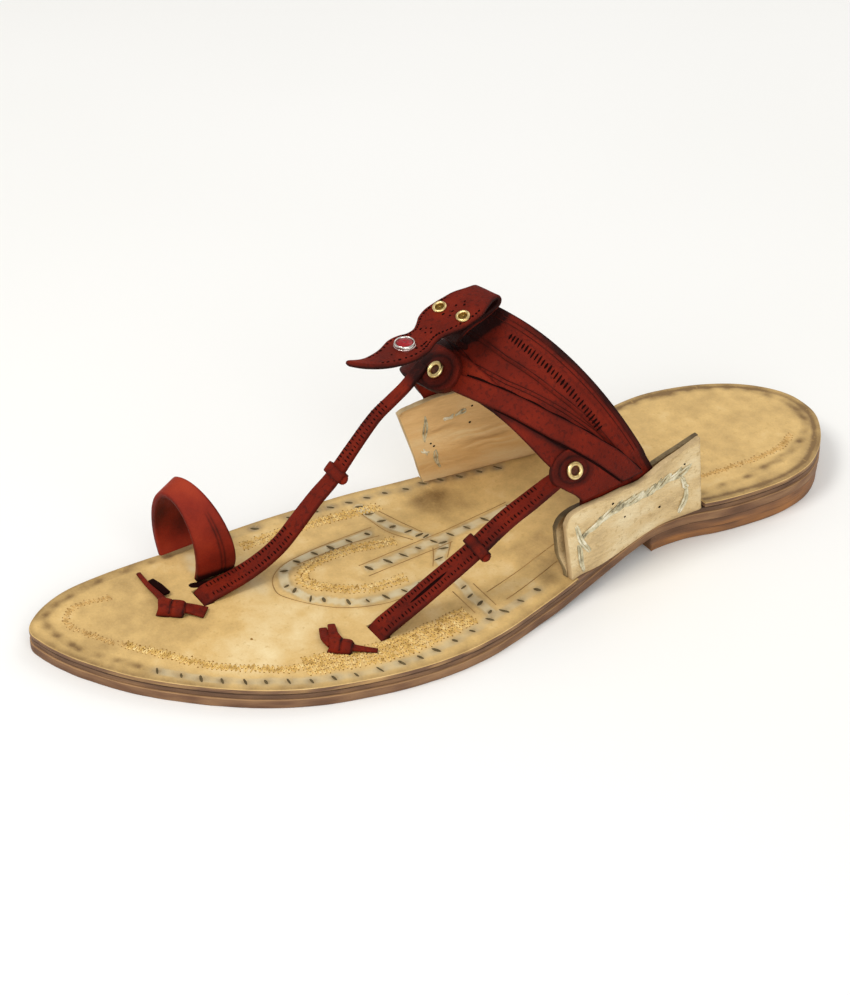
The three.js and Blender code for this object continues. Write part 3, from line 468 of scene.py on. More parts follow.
tongueThickness = 1.6
tongueRows = table(
    "x y z half turn",
    (-15.6, 6.4, 66.7, 3.2, 0.1), (-15.4, 4.7, 68.4, 3.2, 0.1), (-13.8, 2, 70.9, 3.2, 0.12),
    (-11.5, 0.7, 73.6, 3.4, 0.16), (-9.6, 1.6, 76.2, 4, 0.2), (-10.2, 4.8, 77.7, 4.6, 0.2),
    (-11.5, 8.4, 78.1, 5, 0.18), (-12.8, 12, 78.5, 5.1, 0.16), (-13.7, 15, 79.2, 5, 0.17),
    (-13.7, 15.7, 80.6, 4.8, 0.22), (-13.4, 14.5, 81.9, 4.6, 0.3), (-12.6, 11.9, 82.3, 5, 0.33),
    (-11.8, 8.1, 82.1, 6.3, 0.36), (-10.9, 4.9, 81.5, 7.1, 0.37), (-10.6, 1.9, 80.7, 7.4, 0.36),
    (-10.6, -1.3, 79.6, 7.3, 0.35), (-10.3, -4.3, 78.7, 6.4, 0.34), (-9.7, -6.7, 78, 5.1, 0.33),
    (-8.8, -9, 77.4, 4.4, 0.31), (-8, -11.4, 76.9, 4.9, 0.3), (-7.6, -14, 76.6, 5.9, 0.26),
    (-6.8, -17.6, 76.4, 6.1, 0.24), (-5.3, -22.1, 76.4, 4.9, 0.29), (-4.4, -26.4, 76.8, 3.8, 0.34),
    (-4, -30.1, 77.4, 2.9, 0.38), (-4.3, -33.6, 78.2, 1.9, 0.36), (-5.2, -36.6, 79, 0.6, 0.25),
)


def tongueFrame(count):
    rows = smoothRows(tongueRows, count)
    at = stack(rows["x"], rows["y"], rows["z"])
    along = gradients(at)
    across = stack(np.cos(rows["turn"]), np.sin(rows["turn"]), 0 * rows["turn"])
    return {"at": at, "along": along, "across": across, "up": unit(np.cross(along, across)), "half": rows["half"]}


# ---- nodes and finishes


def linear(hexCode):
    channels = [int(hexCode[i:i + 2], 16) / 255 for i in (1, 3, 5)]
    return [c / 12.92 if c <= 0.04045 else ((c + 0.055) / 1.055) ** 2.4 for c in channels] + [1.0]


def addNode(tree, kind, sockets=None, stops=None, **settings):
    # a socket's value is a constant, another node's socket, or a node, for its first output
    node = tree.nodes.new(kind)
    for name, value in settings.items():
        setattr(node, name, value)
    for key, value in (sockets or {}).items():
        value = value.outputs[0] if isinstance(value, bpy.types.Node) else value
        if isinstance(value, bpy.types.NodeSocket):
            tree.links.new(value, node.inputs[key])
        else:
            node.inputs[key].default_value = value
    if stops:
        ramp = node.color_ramp
        while len(ramp.elements) < len(stops):
            ramp.elements.new(1.0)
        for element, (at, color) in zip(ramp.elements, stops):
            element.position, element.color = at, linear(color)
    return node


def newMaterial(name):
    # the material, its tree, and Object coordinates in millimetres
    material = bpy.data.materials.new(name)
    material.use_nodes = True
    tree = material.node_tree
    tree.nodes.clear()
    place = addNode(tree, "ShaderNodeTexCoord").outputs["Object"]
    return material, tree, addNode(tree, "ShaderNodeMapping", {"Vector": place, "Scale": (1000, 1000, 1000)})


def addShader(tree, sockets):
    shader = addNode(tree, "ShaderNodeBsdfPrincipled", sockets)
    addNode(tree, "ShaderNodeOutputMaterial", {"Surface": shader})


def leather(name, dark, base, light, lump, vary, grain, relief, rough, streak=(1, 1, 1), pores=1.3,
            level=0.35, spots=None, inlay=None):
    # one hide finish: the colour drifts in lumps of so many mm, tone on the mesh darkens folds and edges and carries
    # the painted shade and highlights that the pieces set, and a fine grain with pores breaks the gloss; spots are
    # size, cover, colour and strength
    material, tree, inMm = newMaterial(name)
    drawn = addNode(tree, "ShaderNodeMapping", {"Vector": inMm, "Scale": streak})
    drift = addNode(tree, "ShaderNodeTexNoise", {"Vector": drawn, "Scale": 1 / lump, "Detail": 5.0, "Roughness": 0.6})
    fine = addNode(tree, "ShaderNodeTexNoise", {"Vector": drawn, "Scale": 1 / grain, "Detail": 3.0, "Roughness": 0.6})
    cells = addNode(tree, "ShaderNodeTexVoronoi", {"Vector": drawn, "Scale": 1 / pores}, feature="DISTANCE_TO_EDGE")
    tone = addNode(tree, "ShaderNodeAttribute", attribute_name="tone").outputs["Fac"]
    amount = addNode(tree, "ShaderNodeMath", {0: drift, 1: vary, 2: 0.5 - vary / 2}, operation="MULTIPLY_ADD")
    amount = addNode(tree, "ShaderNodeMath", {0: tone, 1: 0.5, 2: amount}, operation="MULTIPLY_ADD")
    amount = addNode(tree, "ShaderNodeMath", {0: fine, 1: 0.16, 2: amount}, operation="MULTIPLY_ADD")
    amount = addNode(tree, "ShaderNodeMath", {0: amount, 1: 0.08}, operation="SUBTRACT")
    color = addNode(tree, "ShaderNodeValToRGB", {"Fac": amount}, [(0.05, dark), (0.5, base), (0.95, light)])
    if spots:
        size, cover, tint, strength = spots
        specks = addNode(tree, "ShaderNodeTexNoise", {"Vector": inMm, "Scale": 1 / size, "Detail": 2.0})
        mask = addNode(tree, "ShaderNodeMapRange", {"Value": specks, "From Min": cover, "From Max": cover + 0.08})
        mask = addNode(tree, "ShaderNodeMath", {0: mask, 1: strength}, operation="MULTIPLY")
        color = addNode(tree, "ShaderNodeMix", {0: mask, 6: color, 7: linear(tint)}, data_type="RGBA").outputs[2]
    if inlay:
        laced = addNode(tree, "ShaderNodeAttribute", attribute_name="lace").outputs["Fac"]
        color = addNode(tree, "ShaderNodeMix", {0: laced, 6: color, 7: linear(inlay)}, data_type="RGBA").outputs[2]
    gloss = addNode(tree, "ShaderNodeMapRange", {"Value": fine, "To Min": rough[0], "To Max": rough[1]})
    pits = addNode(tree, "ShaderNodeMapRange", {"Value": cells, "From Max": 0.12})
    height = addNode(tree, "ShaderNodeMath", {0: pits, 1: 0.35, 2: fine}, operation="MULTIPLY_ADD")
    bumps = addNode(tree, "ShaderNodeBump", {"Height": height, "Distance": relief / 1000, "Strength": 0.9})
    addShader(tree, {"Base Color": color, "Roughness": gloss, "Normal": bumps, "IOR": 1.47,
                     "Specular IOR Level": level})
    return material


def metal(name, base, worn, rough, lump=0.9):
    # pressed sheet metal: bright where it is rubbed, dull in the folds
    material, tree, inMm = newMaterial(name)
    drift = addNode(tree, "ShaderNodeTexNoise", {"Vector": inMm, "Scale": 1 / lump, "Detail": 4.0})
    tone = addNode(tree, "ShaderNodeAttribute", attribute_name="tone").outputs["Fac"]
    amount = addNode(tree, "ShaderNodeMath", {0: tone, 1: 0.5, 2: drift}, operation="MULTIPLY_ADD")
    color = addNode(tree, "ShaderNodeValToRGB", {"Fac": amount}, [(0.15, worn), (0.6, base)])
    gloss = addNode(tree, "ShaderNodeMapRange", {"Value": drift, "To Min": rough[0], "To Max": rough[1]})
    bumps = addNode(tree, "ShaderNodeBump", {"Height": drift, "Distance": 0.00003, "Strength": 0.6})
    addShader(tree, {"Base Color": color, "Roughness": gloss, "Normal": bumps, "Metallic": 1.0})
    return material


# Strap hide dyed dark red with spirit dye: matt, with darker pores and edges.
dyedStrap = leather("dyedStrapLeather", "#220502", "#6a1807", "#8e290c", lump=11, vary=0.8, grain=0.5,
                    pores=0.9, relief=0.12, rough=(0.6, 0.78), level=0.14, spots=(1.2, 0.56, "#3a0c05", 0.5))
# The loop took more of the dye's orange and is smoother.
dyedLoop = leather("dyedLoopLeather", "#2e0603", "#80200e", "#a1371b", lump=13, vary=0.9, grain=0.55, pores=1.0,
                   relief=0.10, rough=(0.55, 0.7), level=0.2)
# Footbed of vegetable-tanned hide, rubbed smooth: warm tan, paler where it is worn, dirt in the grain.
footbedHide = leather("vegTanFootbed", "#7d6038", "#d6b272", "#f4e2b4", lump=8, vary=0.5, grain=0.7, pores=1.6,
                      relief=0.06, rough=(0.45, 0.6), level=0.3, spots=(1.6, 0.62, "#bd9858", 0.4),
                      inlay="#d6cba9")
# Ears of undyed side leather: paler and greyer, darker in the creases.
earHide = leather("vegTanEar", "#8a6c46", "#d6ba88", "#efdfb8", lump=9, vary=1.0, streak=(0.6, 0.6, 1.6),
                  grain=0.9, pores=1.4, relief=0.24, rough=(0.46, 0.62), level=0.3,
                  spots=(1.6, 0.6, "#b0905c", 0.45))
# The ears' cut edges: greyer fibre, dark with handling.
earEdge = leather("earCutEdge", "#584830", "#94805a", "#c4b086", lump=4, vary=1.0, grain=0.5, relief=0.12,
                  rough=(0.6, 0.75))
# Cut edges of bend leather: fibres lie along the edge, stained by edge dressing.
insoleEdge = leather("insoleEdgeLeather", "#4c382b", "#73543e", "#c39a62", lump=5, vary=0.9,
                     streak=(0.25, 0.25, 2.4), grain=0.8, relief=0.16, rough=(0.55, 0.7))
midsoleEdge = leather("midsoleEdgeLeather", "#453124", "#6c4f39", "#96704c", lump=5, vary=1.0,
                      streak=(0.2, 0.2, 2.6), grain=0.8, relief=0.18, rough=(0.55, 0.72))
outsoleEdge = leather("outsoleEdgeLeather", "#432e1f", "#725038", "#a27c56", lump=6, vary=0.85,
                      streak=(0.12, 0.12, 1.5), grain=0.8, relief=0.2, rough=(0.55, 0.72))
heelStack = leather("heelStackLeather", "#3c291c", "#755137", "#a8713f", lump=5, vary=1.3,
                    streak=(0.06, 0.06, 1.4), grain=0.8, relief=0.2, rough=(0.52, 0.7))
# Goat rawhide lace: grey-green and stiff, dirty where it was handled.
rawhide = leather("rawhideLace", "#62583f", "#cabf9c", "#efe7cf", lump=1.4, vary=1.3, grain=0.4, pores=0.7,
                  relief=0.08, rough=(0.45, 0.6))
# The inner face of the medial ear, oiled golden by the foot.
earGolden = leather("oiledEar", "#9c6f40", "#e6bd82", "#f8e2b0", lump=12, vary=0.9, streak=(1, 0.3, 1.8),
                    grain=0.7, pores=1.4, relief=0.12, rough=(0.38, 0.55))
# Waxed linen thread trodden flat: its wax is gone, so it is nearly as matt and tan as the hide.
dullThread = leather("trodThread", "#9a7640", "#cda664", "#e0c088", lump=2, vary=0.9, grain=0.3, relief=0.04,
                     rough=(0.6, 0.7))
# Skived rim of an ear: pale fibre, rubbed smooth.
earRim = leather("paleEarRim", "#8a7452", "#bda277", "#dcc598", lump=3, vary=0.7, grain=0.5, relief=0.05,
                 rough=(0.6, 0.7))
# Punched slot full of dirt: brown, with no shine.
laceSlot = leather("laceSlotDirt", "#2c2416", "#5c4e34", "#8a7a58", lump=2, vary=0.9, grain=0.4, relief=0.05,
                   rough=(0.7, 0.8), level=0.1)
# Waxed linen thread: yellow-gold, with a dull shine.
goldThread = leather("waxedThread", "#98722e", "#deb768", "#f3dca0", lump=2, vary=0.9, grain=0.25, relief=0.05,
                     rough=(0.5, 0.6))
# Line pressed in damp hide: burnt browner than the hide round it.
tooledLine = leather("tooledLine", "#6e4f2a", "#9c7640", "#b48e56", lump=6, vary=0.7, grain=0.5, relief=0.03,
                     rough=(0.6, 0.7))
# Awl hole in the footbed: brown hide in shadow, as painted shade.
stitchHole = leather("stitchHoleShade", "#5c4018", "#8c6428", "#ac8240", lump=2, vary=0.8, grain=0.4,
                     relief=0.03, rough=(0.7, 0.8), level=0.1)
# Nearly black painted shade, because no light gets in: for cuts through dyed hide, and for the shadow strips and wedge
# laid where raised edges cast shade; the knot's binding is drawn in it too.
cutAndShadeBlack = leather("cutShadow", "#080202", "#1a0605", "#32100c", lump=2, vary=0.6, grain=0.4, relief=0.03,
                  rough=(0.8, 0.9), level=0.04)
# Line tooled in dyed hide: the dye gathers in it and dries dark.
toolDark = leather("tooledShadow", "#1a0604", "#3c110a", "#571c12", lump=3, vary=0.8, grain=0.4, relief=0.03,
                   rough=(0.7, 0.8), level=0.08)
# Awl hole through an ear: a deep brown that takes no light.
awlDark = leather("awlHole", "#120c07", "#2b2117", "#4a3a28", lump=2, vary=0.6, grain=0.4, relief=0.03,
                  rough=(0.8, 0.9), level=0.04)
# Leather seen down the bore of a tab eyelet, and the brass bore of a small one.
holeLeather = leather("boreLeather", "#1c0b05", "#4a2412", "#6e3a1e", lump=1.5, vary=0.8, grain=0.4,
                      relief=0.03, rough=(0.7, 0.8))
# Rolled brass: pale yellow on the crown and dull brown in the roll.
brassRolled = metal("rolledBrass", "#ecd498", "#b08c48", rough=(0.24, 0.4), lump=2.5)
# The brass inside a bore: painted dark for the shade in it, with little shine.
brassShade = metal("brassBore", "#8a6c34", "#3a2a12", rough=(0.3, 0.5), lump=0.8)
# Plated white metal: bright grey, with dull hollows.
whiteMetal = metal("whiteMetal", "#e6e1da", "#9a8f86", rough=(0.16, 0.3))


def makeEnamel():
    # fired enamel: an even red that clouds a little and keeps a soft shine
    material, tree, inMm = newMaterial("redEnamel")
    drift = addNode(tree, "ShaderNodeTexNoise", {"Vector": inMm, "Scale": 1.4, "Detail": 3.0})
    color = addNode(tree, "ShaderNodeValToRGB", {"Fac": drift}, [(0.3, "#6c070e"), (0.7, "#a8141f")])
    addShader(tree, {"Base Color": color, "Roughness": 0.35, "Specular IOR Level": 0.25, "Coat Weight": 0.15,
                     "Coat Roughness": 0.1})
    return material


redEnamel = makeEnamel()
print("finishes made")

# ---- mesh helpers


def addPiece(name, points, faces, materials, edgeFaces=None, **values):
    # values are numbers for each point, tone or lace, that the finish reads
    mesh = bpy.data.meshes.new(name)
    faces = faces.tolist() if isinstance(faces, np.ndarray) else faces
    mesh.from_pydata((np.asarray(points) / 1000).tolist(), [], faces)
    for material in materials if isinstance(materials, list) else [materials]:
        mesh.materials.append(material)
    mesh.polygons.foreach_set("use_smooth", np.ones(len(mesh.polygons), bool))
    if edgeFaces is not None:
        mesh.polygons.foreach_set("material_index", edgeFaces.astype(np.int32))
    for key, value in values.items():
        if value is not None:
            mesh.attributes.new(key, "FLOAT", "POINT").data.foreach_set("value", np.asarray(value, float).ravel())
    mesh.update()
    return addObject(name, mesh)


def declare(piece, slot, *nodes):
    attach(piece, "root")
    if nodes:
        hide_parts(*nodes)
    return piece


def quads(a, b, c, d):
    return np.stack([a, b, c, d], -1).reshape(-1, 4)


def slabFaces(rows, cols):
    i = np.arange(rows * cols).reshape(rows, cols)
    j = i + rows * cols
    return np.concatenate([
        quads(i[:-1, :-1], i[:-1, 1:], i[1:, 1:], i[1:, :-1]),
        quads(j[:-1, :-1], j[1:, :-1], j[1:, 1:], j[:-1, 1:]),
        quads(i[:-1, 0], i[1:, 0], j[1:, 0], j[:-1, 0]),
        quads(i[:-1, -1], j[:-1, -1], j[1:, -1], i[1:, -1]),
        quads(i[0, :-1], j[0, :-1], j[0, 1:], i[0, 1:]),
        quads(i[-1, :-1], i[-1, 1:], j[-1, 1:], j[-1, :-1]),
    ])


def insideOut(points, faces):
    p = points[faces]
    return sum((p[:, 0] * np.cross(p[:, k], p[:, k + 1])).sum() for k in range(1, p.shape[1] - 1)) < 0


def outward(points, faces):
    return faces[:, ::-1] if insideOut(points, faces) else faces


def rimDrop(distance, radius):
    near = radius - np.clip(distance, 0, radius)
    return radius - np.sqrt(np.maximum(radius * radius - near * near, 0))


def rimSpaced(length, step, radius):
    # places along a length, close together where the rim is rounded
    near = radius * (1 - np.cos(np.radians([0, 25, 48, 70, 90])))
    count = max(1, int(round((length - 2 * radius) / step)))
    middle = np.linspace(radius, length - radius, count + 1)
    return np.concatenate([near[:-1], middle, length - near[:-1][::-1]])


def slab(name, top, bottom, materials, distance, radius, tone, edgeLimit=None, lowTone=None):
    # a sheet between two faces, its rims rounded by how far each point is from the nearest edge
    through = unit(bottom - top)
    drop = rimDrop(distance, radius)[..., None]
    top, bottom = top + through * drop, bottom - through * drop
    points = np.concatenate([top.reshape(-1, 3), bottom.reshape(-1, 3)])
    faces = outward(points, slabFaces(*top.shape[:2]))
    tone = np.concatenate([tone.ravel(), (tone if lowTone is None else lowTone).ravel()])
    edge = None if edgeLimit is None else np.tile(distance.ravel(), 2)[faces].mean(1) < edgeLimit
    return addPiece(name, points, faces, materials, edge, tone=tone)


def rings(path, across, up, halfWidth, halfHeight, section):
    # a closed section, given as pairs of shares of the half sizes, carried along a path
    section = np.array(section, float)
    halfWidth = np.broadcast_to(halfWidth, len(path))
    halfHeight = np.broadcast_to(halfHeight, len(path))
    return (path[:, None] + across[:, None] * section[:, :1] * halfWidth[:, None, None]
            + up[:, None] * section[:, 1:] * halfHeight[:, None, None])


def roundedSection(sides, power):
    angle = np.arange(sides) / sides * 2 * math.pi
    return signedPower(np.stack([np.cos(angle), np.sin(angle)], -1), 2 / power) * 0.5


def tubeMesh(grids):
    # joins several ring grids into one mesh, each closed at its two ends
    points, faces, start = [], [], 0
    for grid in grids:
        count, sides = grid.shape[:2]
        i = np.arange(count * sides).reshape(count, sides) + start
        n = np.roll(i, -1, 1)
        body = quads(i[:-1], n[:-1], n[1:], i[1:])
        flat = grid.reshape(-1, 3)
        centers = np.stack([grid[0].mean(0), grid[-1].mean(0)])
        a, b = start + count * sides, start + count * sides + 1
        ends = [(a, n[0, k], i[0, k]) for k in range(sides)] + [(b, i[-1, k], n[-1, k]) for k in range(sides)]
        part = np.concatenate([flat, centers])
        if insideOut(part, body - start):
            body = body[:, ::-1]
            ends = [face[::-1] for face in ends]
        points.append(part)
        faces += body.tolist() + [list(map(int, face)) for face in ends]
        start += len(part)
    return np.concatenate(points), faces


def ribbon(path, up, wide, high, sides=10, power=2.2):
    # a flat-lying strand along a path on a surface
    return rings(path, unit(np.cross(gradients(path), up)), up, wide, high, roundedSection(sides, power))


def tubePiece(name, grids, material, slot, *nodes, drift=None):
    # one declared piece of closed tubes; drift gives the size, seed and strength of its tone
    points, faces = tubeMesh(grids)
    tone = None if drift is None else noiseAt(points, drift[0], drift[1]) * drift[2]
    return declare(addPiece(name, points, faces, material, tone=tone), slot, *nodes)


def evaluated(piece):
    graph = bpy.context.evaluated_depsgraph_get()
    mesh = bpy.data.meshes.new_from_object(piece.evaluated_get(graph), depsgraph=graph)
    piece.modifiers.clear()
    piece.data = mesh


def cutAway(piece, block):
    modifier = piece.modifiers.new("cut", "BOOLEAN")
    modifier.object, modifier.operation, modifier.solver = block, "DIFFERENCE", "EXACT"
    evaluated(piece)
    bpy.data.objects.remove(block)


# ---- rows of marks, made by one geometry node tree


def makeMarkTree():
    # a mark on each point, turned to the point's own directions and a little uneven in size
    tree = bpy.data.node_groups.new("markRows", "GeometryNodeTree")
    inputs = {"Places": "Geometry", "Mark": "Object", "Length": "Float", "Width": "Float", "Height": "Float",
              "Unevenness": "Float", "Seed": "Int", "Finish": "Material"}
    for name, kind in inputs.items():
        tree.interface.new_socket(name, in_out="INPUT", socket_type="NodeSocket" + kind)
    tree.interface.new_socket("Marks", in_out="OUTPUT", socket_type="NodeSocketGeometry")
    given = addNode(tree, "NodeGroupInput").outputs
    shape = addNode(tree, "GeometryNodeObjectInfo", {"Object": given["Mark"]}).outputs["Geometry"]
    along = addNode(tree, "GeometryNodeInputNamedAttribute", {"Name": "along"}, data_type="FLOAT_VECTOR")
    up = addNode(tree, "GeometryNodeInputNamedAttribute", {"Name": "up"}, data_type="FLOAT_VECTOR")
    turn = addNode(tree, "FunctionNodeAxesToRotation", {0: along, 1: up}, primary_axis="X", secondary_axis="Z")
    size = addNode(tree, "ShaderNodeCombineXYZ", {0: given["Length"], 1: given["Width"], 2: given["Height"]})
    low = addNode(tree, "ShaderNodeMath", {0: 1.0, 1: given["Unevenness"]}, operation="SUBTRACT")
    high = addNode(tree, "ShaderNodeMath", {0: 1.0, 1: given["Unevenness"]}, operation="ADD")
    wild = addNode(tree, "FunctionNodeRandomValue", {0: low, 1: high, "Seed": given["Seed"]}, data_type="FLOAT_VECTOR")
    scale = addNode(tree, "ShaderNodeVectorMath", {0: size, 1: wild}, operation="MULTIPLY")
    placed = addNode(tree, "GeometryNodeInstanceOnPoints", {
        "Points": given["Places"], "Instance": shape, "Rotation": turn, "Scale": scale})
    real = addNode(tree, "GeometryNodeRealizeInstances", {0: placed})
    done = addNode(tree, "GeometryNodeSetMaterial", {"Geometry": real, "Material": given["Finish"]})
    addNode(tree, "NodeGroupOutput", {"Marks": done})
    return tree


def makeMarkLens():
    # unit mark: a flattened lens of three rings
    section = roundedSection(8, 2.0)
    turn = np.linspace(-math.pi / 2, math.pi / 2, 5)[1:-1]
    grid = np.stack([stack(*(section * np.cos(a) ** 0.6).T, math.sin(a) / 2) for a in turn])
    points, faces = tubeMesh([grid])
    return addPiece("markLens", points * 1000, faces, cutAndShadeBlack)


markTree = makeMarkTree()
markLens = makeMarkLens()


def addMarks(name, places, along, up, settings, material, slot, *nodes):
    # settings give the mark's length, width and height in mm, how uneven the row is, and its seed
    mesh = bpy.data.meshes.new(name)
    mesh.from_pydata((np.asarray(places) / 1000).tolist(), [], [])
    for key, value in (("along", along), ("up", up)):
        value = np.ascontiguousarray(np.broadcast_to(value, (len(mesh.vertices), 3)), dtype=np.float32)
        mesh.attributes.new(key, "FLOAT_VECTOR", "POINT").data.foreach_set("vector", value.ravel())
    piece = addObject(name, mesh)
    modifier = piece.modifiers.new("markRows", "NODES")
    modifier.node_group = markTree
    values = {"Mark": markLens, "Unevenness": settings["uneven"], "Seed": settings.get("seed", 1), "Finish": material}
    for key in ("Length", "Width", "Height"):
        values[key] = settings[key.lower()] / 1000
    for item in markTree.interface.items_tree:
        if item.name in values:
            modifier[item.identifier] = values[item.name]
    evaluated(piece)
    piece.data.materials.clear()
    piece.data.materials.append(material)
    piece.data.polygons.foreach_set("use_smooth", np.ones(len(piece.data.polygons), bool))
    return declare(piece, slot, *nodes)


print("helpers ready")

# ---- sole

soleLook = {"cornerRadius": 0.28, "edgeWave": 0.16, "slotLength": 3.4, "earGap": 0.35, "footClear": 0.06}
insoleInset = 0.2
spine = {"front": (-24.0, -96.0), "rear": (0.0, 96.0)}


def spinePoints(ring):
    y = np.clip(ring[:, 1], spine["front"][1], spine["rear"][1])
    share = (y - spine["front"][1]) / (spine["rear"][1] - spine["front"][1])
    return np.stack([mix(spine["front"][0], spine["rear"][0], smoothstep(share * 1.25)), y], -1)


def plyRings(ring, bottom, top, radius, steps):
    # rings of points from the middle of the underside, round the edge, to the middle of the top
    inner, rim = spinePoints(ring), insetRing(radius, ring)
    corner = np.radians([0, 30, 60, 90])
    grid = []

    def addRing(xy, face, raised=0.0):
        grid.append(stack(xy[:, 0], xy[:, 1], face(xy[:, 1]) + raised))

    for share in (0.0, 0.5, 0.9):
        addRing(mix(inner, rim, share), bottom)
    for angle in corner:
        addRing(insetRing(radius * (1 - math.sin(angle)), ring), bottom, radius * (1 - math.cos(angle)))
    for share in (0.2, 0.4, 0.6, 0.8):
        addRing(ring, lambda y: mix(bottom(y) + radius, top(y) - radius, share))
    for angle in corner[::-1]:
        addRing(insetRing(radius * (1 - math.sin(angle)), ring), top, -radius * (1 - math.cos(angle)))
    for share in np.linspace(1, 0, steps + 1)[1:]:
        addRing(mix(inner, rim, share), top)
    return np.array(grid)


def ringFaces(levels, count):
    i = np.arange(levels * count).reshape(levels, count)
    n = np.roll(i, -1, 1)
    return quads(i[:-1], n[:-1], n[1:], i[1:])


def waved(ring, seed):
    # hand-cut edge: it wanders a little in and out
    points = np.concatenate([ring, np.full((len(ring), 1), seed * 40.0)], 1)
    wander = noiseAt(points, 11.0, seed) * soleLook["edgeWave"] + noiseAt(points, 3.0, seed) * 0.05
    return insetRing(0.12 + wander, ring)


def heelRing(inset, breast):
    # the rear part of the outline, cut straight across at the breast
    ring = insetRing(inset)
    keep = ring[:, 1] >= breast
    start = int(np.argmax(keep & ~np.roll(keep, 1)))
    part = np.roll(ring, -start, 0)[:int(keep.sum())]
    straight = np.linspace(part[-1], part[0], 42)[1:-1]
    return np.concatenate([part, straight])


def edgeTone(points, seed):
    # cut edges streak along the ply
    return noiseAt(points * np.array([1, 1, 3.0]), 7.0, seed) * 0.5


def plyNotch():
    # room in the midsole for the long outer ply of the lateral ear
    rows = smoothRows(lateralEar, 40)
    inner = earFace(rows, np.array([[0.0]]), earPly + sole["plyClear"])[:, 0]
    low = insoleBottom(rows["baseY"]) - rows["sunk"] - soleLook["footClear"]
    y = rows["baseY"].copy()
    y[0], y[-1] = y[0] - 0.2, y[-1] + 0.5
    near, far, high = inner[:, 0], rows["baseX"] + 6, 20 + 0 * y
    grid = np.stack([stack(near, y, high), stack(far, y, high), stack(far, y, low), stack(near, y, low)], 1)
    return addPiece("plyNotch", *tubeMesh([grid]), outsoleEdge)


def soleEdge(name, ring, bottom, top, material, node, seed, rim=-0.45, notch=None):
    # pressed together with its neighbours: each ply fills half the glue line on both sides
    glue = sole["gap"] / 2
    grid = plyRings(ring, lambda y: np.maximum(bottom(y) - glue, 0), lambda y: top(y) + glue,
                    soleLook["cornerRadius"], 2)
    points = grid.reshape(-1, 3)
    tone = edgeTone(points, seed)
    levels = grid.shape[0]
    faceLevel = np.repeat(np.arange(levels), grid.shape[1])
    tone += np.where(faceLevel < 5, -0.3, np.where(faceLevel > levels - 6, rim, 0.1))
    piece = addPiece(name, points, ringFaces(*grid.shape[:2]), material, tone=tone)
    if notch:
        cutAway(piece, notch)
    declare(piece, "edge_leather", node)


def makeSole():
    half = sole["heelRise"] / 2
    soleEdge("outsoleBend", waved(insetRing(0.0), 1), rise, lambda y: rise(y) + sole["outsole"],
             outsoleEdge, "outsole", 1, 0.75)
    soleEdge("midsoleBend", waved(insetRing(0.35), 2), midsoleBottom, lambda y: midsoleBottom(y) + sole["midsole"],
             midsoleEdge, "midsole", 2, notch=plyNotch())
    soleEdge("heelLiftUpper", waved(heelRing(0.2, sole["breast"]), 3), lambda y: half + 0 * y,
             lambda y: rise(y) - sole["gap"], heelStack, "heel_lift_upper", 3)
    soleEdge("heelLiftLower", waved(heelRing(0.5, sole["breast"] + 0.6), 4), lambda y: 0 * y,
             lambda y: half - sole["gap"] + 0 * y, heelStack, "heel_lift_lower", 4)


# ---- footbed

footbedLook = {"radius": 0.55, "steps": 54}


def earFootLine(rows, y):
    inner = earFace(smoothRows(rows, 60), np.array([[0.0]]), 2 * earPly + soleLook["earGap"])[:, 0]
    return np.interp(y, inner[:, 1], inner[:, 0])


def insoleRing():
    ring = insetRing(insoleInset)
    ring = np.stack([ring, mix(ring, np.roll(ring, -1, 0), 0.5)], 1).reshape(-1, 2)
    for rows, side, front, rear in ((lateralEar, 1, -2.3, 0.9), (medialEar, -1, 0.6, 0.6)):
        y0, y1 = rows["baseY"][0] - front, rows["baseY"][-1] + rear
        within = (ring[:, 1] > y0) & (ring[:, 1] < y1) & (ring[:, 0] * side > 0)
        line = earFootLine(rows, ring[:, 1])
        ring[within, 0] = line[within]
    return ring


def lineDistance(points, path):
    # distance of each (x, y) from a polyline
    best = np.full(len(points), 1e9)
    for a, b in zip(path, path[1:]):
        d = b - a
        t = np.clip(((points - a) @ d) / (d @ d), 0, 1)
        best = np.minimum(best, np.linalg.norm(points - a - t[:, None] * d, axis=1))
    return best


laceLook = {
    "dash": {"length": 3.0, "width": 0.85, "height": 0.36, "uneven": 0.35, "seed": 3},
    "pale": {"rim": 0.4, "toe": 0.0, "medial": 0.1, "heel": 0.0, "center": 0.65, "crossMedial": 0.75,
             "crossLateral": 0.65, "oval": 0.8},
    "smudge": {"toe": 0.55, "heel": 0.3, "medial": 0.8}, "bare": ("toe", "heel"),
    "lineWidth": 0.34, "slant": {"medial": 54, "crossMedial": -30},
}

